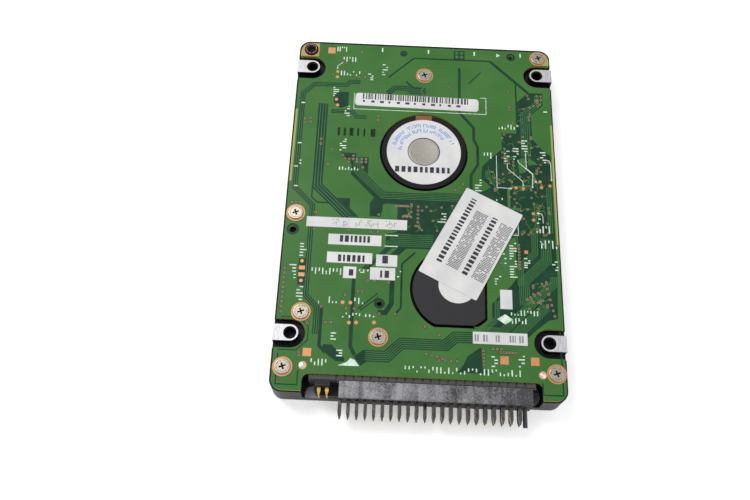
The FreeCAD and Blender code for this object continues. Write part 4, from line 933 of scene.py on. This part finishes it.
ink_shapes.append(slab([(18.6, -30.3), (20.5, -31.6), (22.4, -30.3), (20.5, -29.0)], sunk, ink_top))
ink_shapes.append(slab([(-19.2, -43.4), (-14.0, -43.4), (-15.2, -41.9), (-16.2, -41.5),
                        (-17.0, -42.5)], sunk, ink_top))
piece("silk_screen", ink_shapes, ink)

# ---- stamped marks --------------------------------------------------------------------
# Black rubber-stamp ink: plain blocks, patchy where the stamp lifted.
stamp = Finish("stamp_ink", Specular_IOR_Level=0.1)
patch = stamp.grain(2.0, 5.0)
stamp.feed(Base_Color=stamp.blend(stamp.between(patch, 0.45, 0.6), shade(16, 28, 18),
                                  shade(34, 62, 34)),
           Roughness=stamp.between(patch, 0.2, 0.8, 0.5, 0.7))
stamp_shapes = [box_slab(sx, 19.2, sx + wide, 21.6, sunk, ink_top) for sx, wide in
                ((-22.8, 0.6), (-21.2, 0.6), (-19.6, 1.0), (-17.6, 0.5), (-15.9, 0.4),
                 (-14.0, 1.2))]
piece("stamped_blocks", stamp_shapes, stamp)
piece("faint_stamps", [box_slab(sx, 37.0, sx + 0.5, 39.0, sunk, clear_top + 0.002)
                       for sx in (3.4, 4.6, 5.8, 6.8)] +
      [hoops([(0.6, 34.3)], 1.2, 1.5, sunk, clear_top + 0.002, 32)], track)

# ---- paper labels ---------------------------------------------------------------------
# Satin label stock with a slight cockle, faintly lilac, a shade darker along its cut
# edges; the ones on the board are printed with bars and blocks, never with writing.
paper = Finish("label_stock", Coat_Weight=0.1, Coat_Roughness=0.3)
cockle = paper.grain(0.18, 3.0)
fibre = paper.grain(5.0, 4.0)
cut = paper.between(paper.edges(0.25), 0.02, 0.2)
sheet_colour = paper.blend(paper.between(cockle, 0.3, 0.7), shade(188, 189, 189),
                           shade(206, 206, 204))
paper.feed(Base_Color=paper.blend(cut * 0.5, sheet_colour, shade(168, 166, 170)),
           Roughness=paper.between(fibre, 0.2, 0.8, 0.42, 0.6),
           Normal=paper.relief(cockle * 0.8 + fibre * 0.1, 0.05))
dress(paper, "cover_label", "bar_label", "number_labels", "service_label", "pivot_sticker",
      "motor_label")

print_ink = Finish("label_print", Specular_IOR_Level=0.15)
break_up = print_ink.grain(3.0, 4.0)
print_ink.feed(Base_Color=print_ink.blend(print_ink.between(break_up, 0.4, 0.65),
                                          shade(28, 28, 34), shade(74, 72, 82)),
               Roughness=print_ink.between(break_up, 0.2, 0.8, 0.5, 0.7))
print_thick = 0.008


def blocks_in(x0, x1, y0, y1, seed, wide=(0.5, 1.2), gap=0.45):
    """Row of plain blocks of uneven width that fills a box from end to end."""
    draw = np.random.RandomState(seed)
    widths = draw.uniform(*wide, int((x1 - x0) / (wide[0] + gap)) + 1)
    starts = x0 + np.cumsum(np.concatenate([[0], widths[:-1] + gap]))
    return [(start, min(start + width, x1), y0, y1) for start, width in zip(starts, widths)
            if start < x1 - 0.2]


def dots_in(x0, x1, y0, y1, pitch, seed, keep=0.5, size=(0.6, 0.6)):
    """Grid of small dots over a box; the seed picks which of them are there."""
    draw = np.random.RandomState(seed)
    east, north = np.meshgrid(np.arange(x0, x1, pitch), np.arange(y0, y1, pitch))
    there = draw.rand(*east.shape) < keep
    half_x, half_y = pitch * np.array(size) / 2
    return [(px - half_x, px + half_x, py - half_y, py + half_y)
            for px, py in zip(east[there], north[there])]


def printed(boxes, paper_top, turn=0.0, about=(0.0, 0.0)):
    """Ink boxes laid on a paper surface and turned with it."""
    return [turned_by(box_slab(x0, y0, x1, y1, paper_top - 0.02, paper_top + print_thick),
                      turn, about) for x0, x1, y0, y1 in boxes]


# The bar label: bars of uneven width over the upper half, small marks below them.
bar_low, bar_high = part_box("bar_label")
bar_mid = tuple(((bar_low + bar_high) * 500).xy)
bar_draw = np.random.RandomState(5)
bar_edges = np.cumsum(bar_draw.choice([0.2, 0.28, 0.36, 0.5], 120))
bar_edges = bar_edges[bar_edges < 29.4]
bar_left = bar_mid[0] - 15.2
bar_boxes = [(bar_left + a, bar_left + b, bar_mid[1] + 0.1, bar_mid[1] + 1.95)
             for a, b in zip(bar_edges[0::2], bar_edges[1::2])]
for k in range(12):
    mark_x = bar_left + 0.6 + 2.3 * k
    bar_boxes.append((mark_x, mark_x + 0.5 + 0.3 * (k % 3), bar_mid[1] - 0.9, bar_mid[1] - 0.25))
piece("bar_label_print", printed(bar_boxes, bar_high.z * 1000, -1.0, bar_mid),
      print_ink)

# The small labels: blocks on the boxed ones, faint dots on the long strip.
tag_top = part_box("number_labels")[1].z * 1000
tag_boxes = blocks_in(-20.4, -12.3, -12.1 + 0.4, -9.9, 1) + blocks_in(-20.6, -14.0, -17.0, -15.2, 2)
tag_boxes += [(-9.6, -8.2, -17.1, -15.0), (-17.7, -16.6, -20.7, -19.0),
              (-10.0, -9.5, -20.9, -19.0), (-8.9, -7.8, -20.9, -19.0)]
faint_boxes = [box for k, px in enumerate((-22.4, -19.7, -16.6, -14.0, -12.3, -9.0, -7.7))
               for box in dots_in(px, px + 1.4, -7.3, -5.3, 0.42, 20 + k, 0.42)]
piece("small_label_print", printed(tag_boxes, tag_top), print_ink)
faint = Finish("faint_print")
break_up = faint.grain(2.0, 4.0)
faint.follow(break_up, (82, 82, 88), (150, 150, 156), 0.5, 0.7)
faint_boxes += [box for k, (px, wide) in enumerate(((13.1, 1.3), (15.1, 1.1), (18.1, 1.4),
                                                    (21.4, 1.5), (23.7, 1.2)))
                for box in blocks_in(px, px + wide, -36.1, -34.4, 60 + k, (0.3, 0.5), 0.25)]
piece("strip_print", printed(faint_boxes, tag_top), faint)

# The large slanted label: two rows of blocks and two fields of fine dots along it.
slant = -27.2
slant_mid = (12.5, -10.5)
service_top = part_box("service_label")[1].z * 1000
rows = [(py0, py1, -slant_x - 0.72, -slant_x + 0.72)
        for slant_x, seed in ((4.75, 31), (-2.3, 32))
        for py0, py1, _, _ in blocks_in(-8.6, 11.2 if seed == 31 else 9.0, 0, 1, seed,
                                        (0.5, 0.9), 0.42)]
service_boxes = [(x0 + slant_mid[0], x1 + slant_mid[0], y0 + slant_mid[1], y1 + slant_mid[1])
                 for y0, y1, x0, x1 in rows]
for field_x, field_seed in ((-2.7, 41), (4.3, 42)):
    service_boxes += dots_in(slant_mid[0] + field_x, slant_mid[0] + field_x + 3.0,
                             slant_mid[1] - 8.3, slant_mid[1] + 8.9, 0.42, field_seed, 0.88,
                             (0.85, 0.5))
piece("service_label_print", printed(service_boxes, service_top, slant, slant_mid),
      print_ink)

# ---- motor boss -----------------------------------------------------------------------
# Ring label round the pressed steel cap: pale blue strokes along its far half and a line
# of plain blocks across the near half.
ring_low, ring_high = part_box("motor_label")
motor_mid = np.array(((ring_low + ring_high) * 500).xy)
ring_top = ring_high.z * 1000
blue = Finish("blue_print")
wash = blue.grain(2.5, 4.0)
blue.follow(wash, (52, 104, 190), (112, 156, 216), 0.5, 0.7)


def arc_strokes(r_low, r_high, first, last, count, seed):
    """Radial strokes at even angles between two radii; the seed leaves out some and
    shortens others, from the inner or the outer end."""
    draw = np.random.RandomState(seed)
    shapes = []
    for angle in np.radians(np.linspace(first, last, count)):
        if draw.rand() < 0.18:
            continue
        trim = draw.choice([0.0, 0.0, 0.3, 0.55], 2) * draw.permutation([0, 1])
        radii = np.array((r_low, r_high)) + trim * (r_high - r_low) * np.array((1, -1))
        ends = motor_mid + radii[:, None] * np.array((math.cos(angle), math.sin(angle)))
        shapes.append(ribbon(ends, 0.22, ring_top - 0.02, ring_top + print_thick))
    return shapes


piece("ring_label_strokes", arc_strokes(7.5, 8.6, 20, 166, 46, 3) +
      arc_strokes(5.9, 7.0, 40, 176, 36, 4), blue)
date_boxes = blocks_in(motor_mid[0] - 7.4, motor_mid[0] + 6.8, motor_mid[1] - 6.3,
                       motor_mid[1] - 4.6, 70, (0.6, 1.1), 0.6)
piece("ring_label_print", printed(date_boxes, ring_top), print_ink)

cap_finish = Finish("pressed_cap", Metallic=0.85)
fine = cap_finish.grain(2.2, 5.0)
scratch = cap_finish.grain(0.9, 3.0, (0.4, 5.0, 1.0))
cap_finish.feed(Base_Color=cap_finish.blend(fine, shade(140, 136, 130), shade(176, 172, 164)),
                Roughness=cap_finish.between(scratch, 0.2, 0.8, 0.34, 0.52),
                Normal=cap_finish.relief(fine + scratch, 0.006))
dress(cap_finish, "motor_cap")

# ---- board screws' rims ---------------------------------------------------------------
# Each pressed head has a shallow groove round it, drawn as a thin ring painted dark in
# patches: painted shade of the groove.
screw_groove_paint = Finish("screw_groove_shade", Metallic=0.4)
ring_patches = screw_groove_paint.grain(1.8, 4.0)
screw_groove_paint.feed(Base_Color=screw_groove_paint.blend(screw_groove_paint.between(ring_patches, 0.42, 0.6), shade(52, 46, 40),
                              shade(178, 168, 150)),
         Roughness=screw_groove_paint.between(ring_patches, 0.2, 0.8, 0.3, 0.5))
piece("screw_grooves", [hoops(screw_places, 1.36, 1.5, head_top - 0.05, head_top + 0.006, 40)],
      screw_groove_paint)

# ---- jumper bay -----------------------------------------------------------------------
# A dark arc curves across the bay's floor beside the jumper pins: a strip painted dark
# as the shade of a narrow groove.
bay_arc_finish = Finish("bay_arc_shade", Coat_Weight=0.4)
lumps = bay_arc_finish.grain(2.0)
bay_arc_finish.follow(lumps, (8, 8, 9), (22, 22, 24), 0.3, 0.5, 0.03)
sweep = np.radians(np.linspace(90, 180, 14))
arc_path = np.stack([arc_x + arc_r * np.cos(sweep), arc_y + arc_r * np.sin(sweep)], axis=1)
piece("bay_arc_strip", [ribbon(arc_path, 0.32, bay_floor - 0.1, bay_floor + 0.12)], bay_arc_finish)

# ---- ribbon loop ----------------------------------------------------------------------
# Free part of the arm's amber ribbon, which stands on edge, held by the bracket at one end
# and by the arm at the other.
loop_low, loop_high = (corner.z * 1000 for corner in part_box("flex_loop"))
bracket_end, loop_bend, arm_end = np.array(((0.5, -36.1), (6.69, -31.53), (7.29, -27.52)))
along = np.linspace(0, 1, 33)[:, None]
loop_path = (1 - along) ** 2 * bracket_end + 2 * along * (1 - along) * loop_bend + (
    along ** 2 * arm_end)
ribbon_thick = 0.12
loop = piece("bending_ribbon", [ribbon(loop_path, ribbon_thick, loop_low, loop_high)], film,
             None)
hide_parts("flex_loop")
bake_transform(loop)
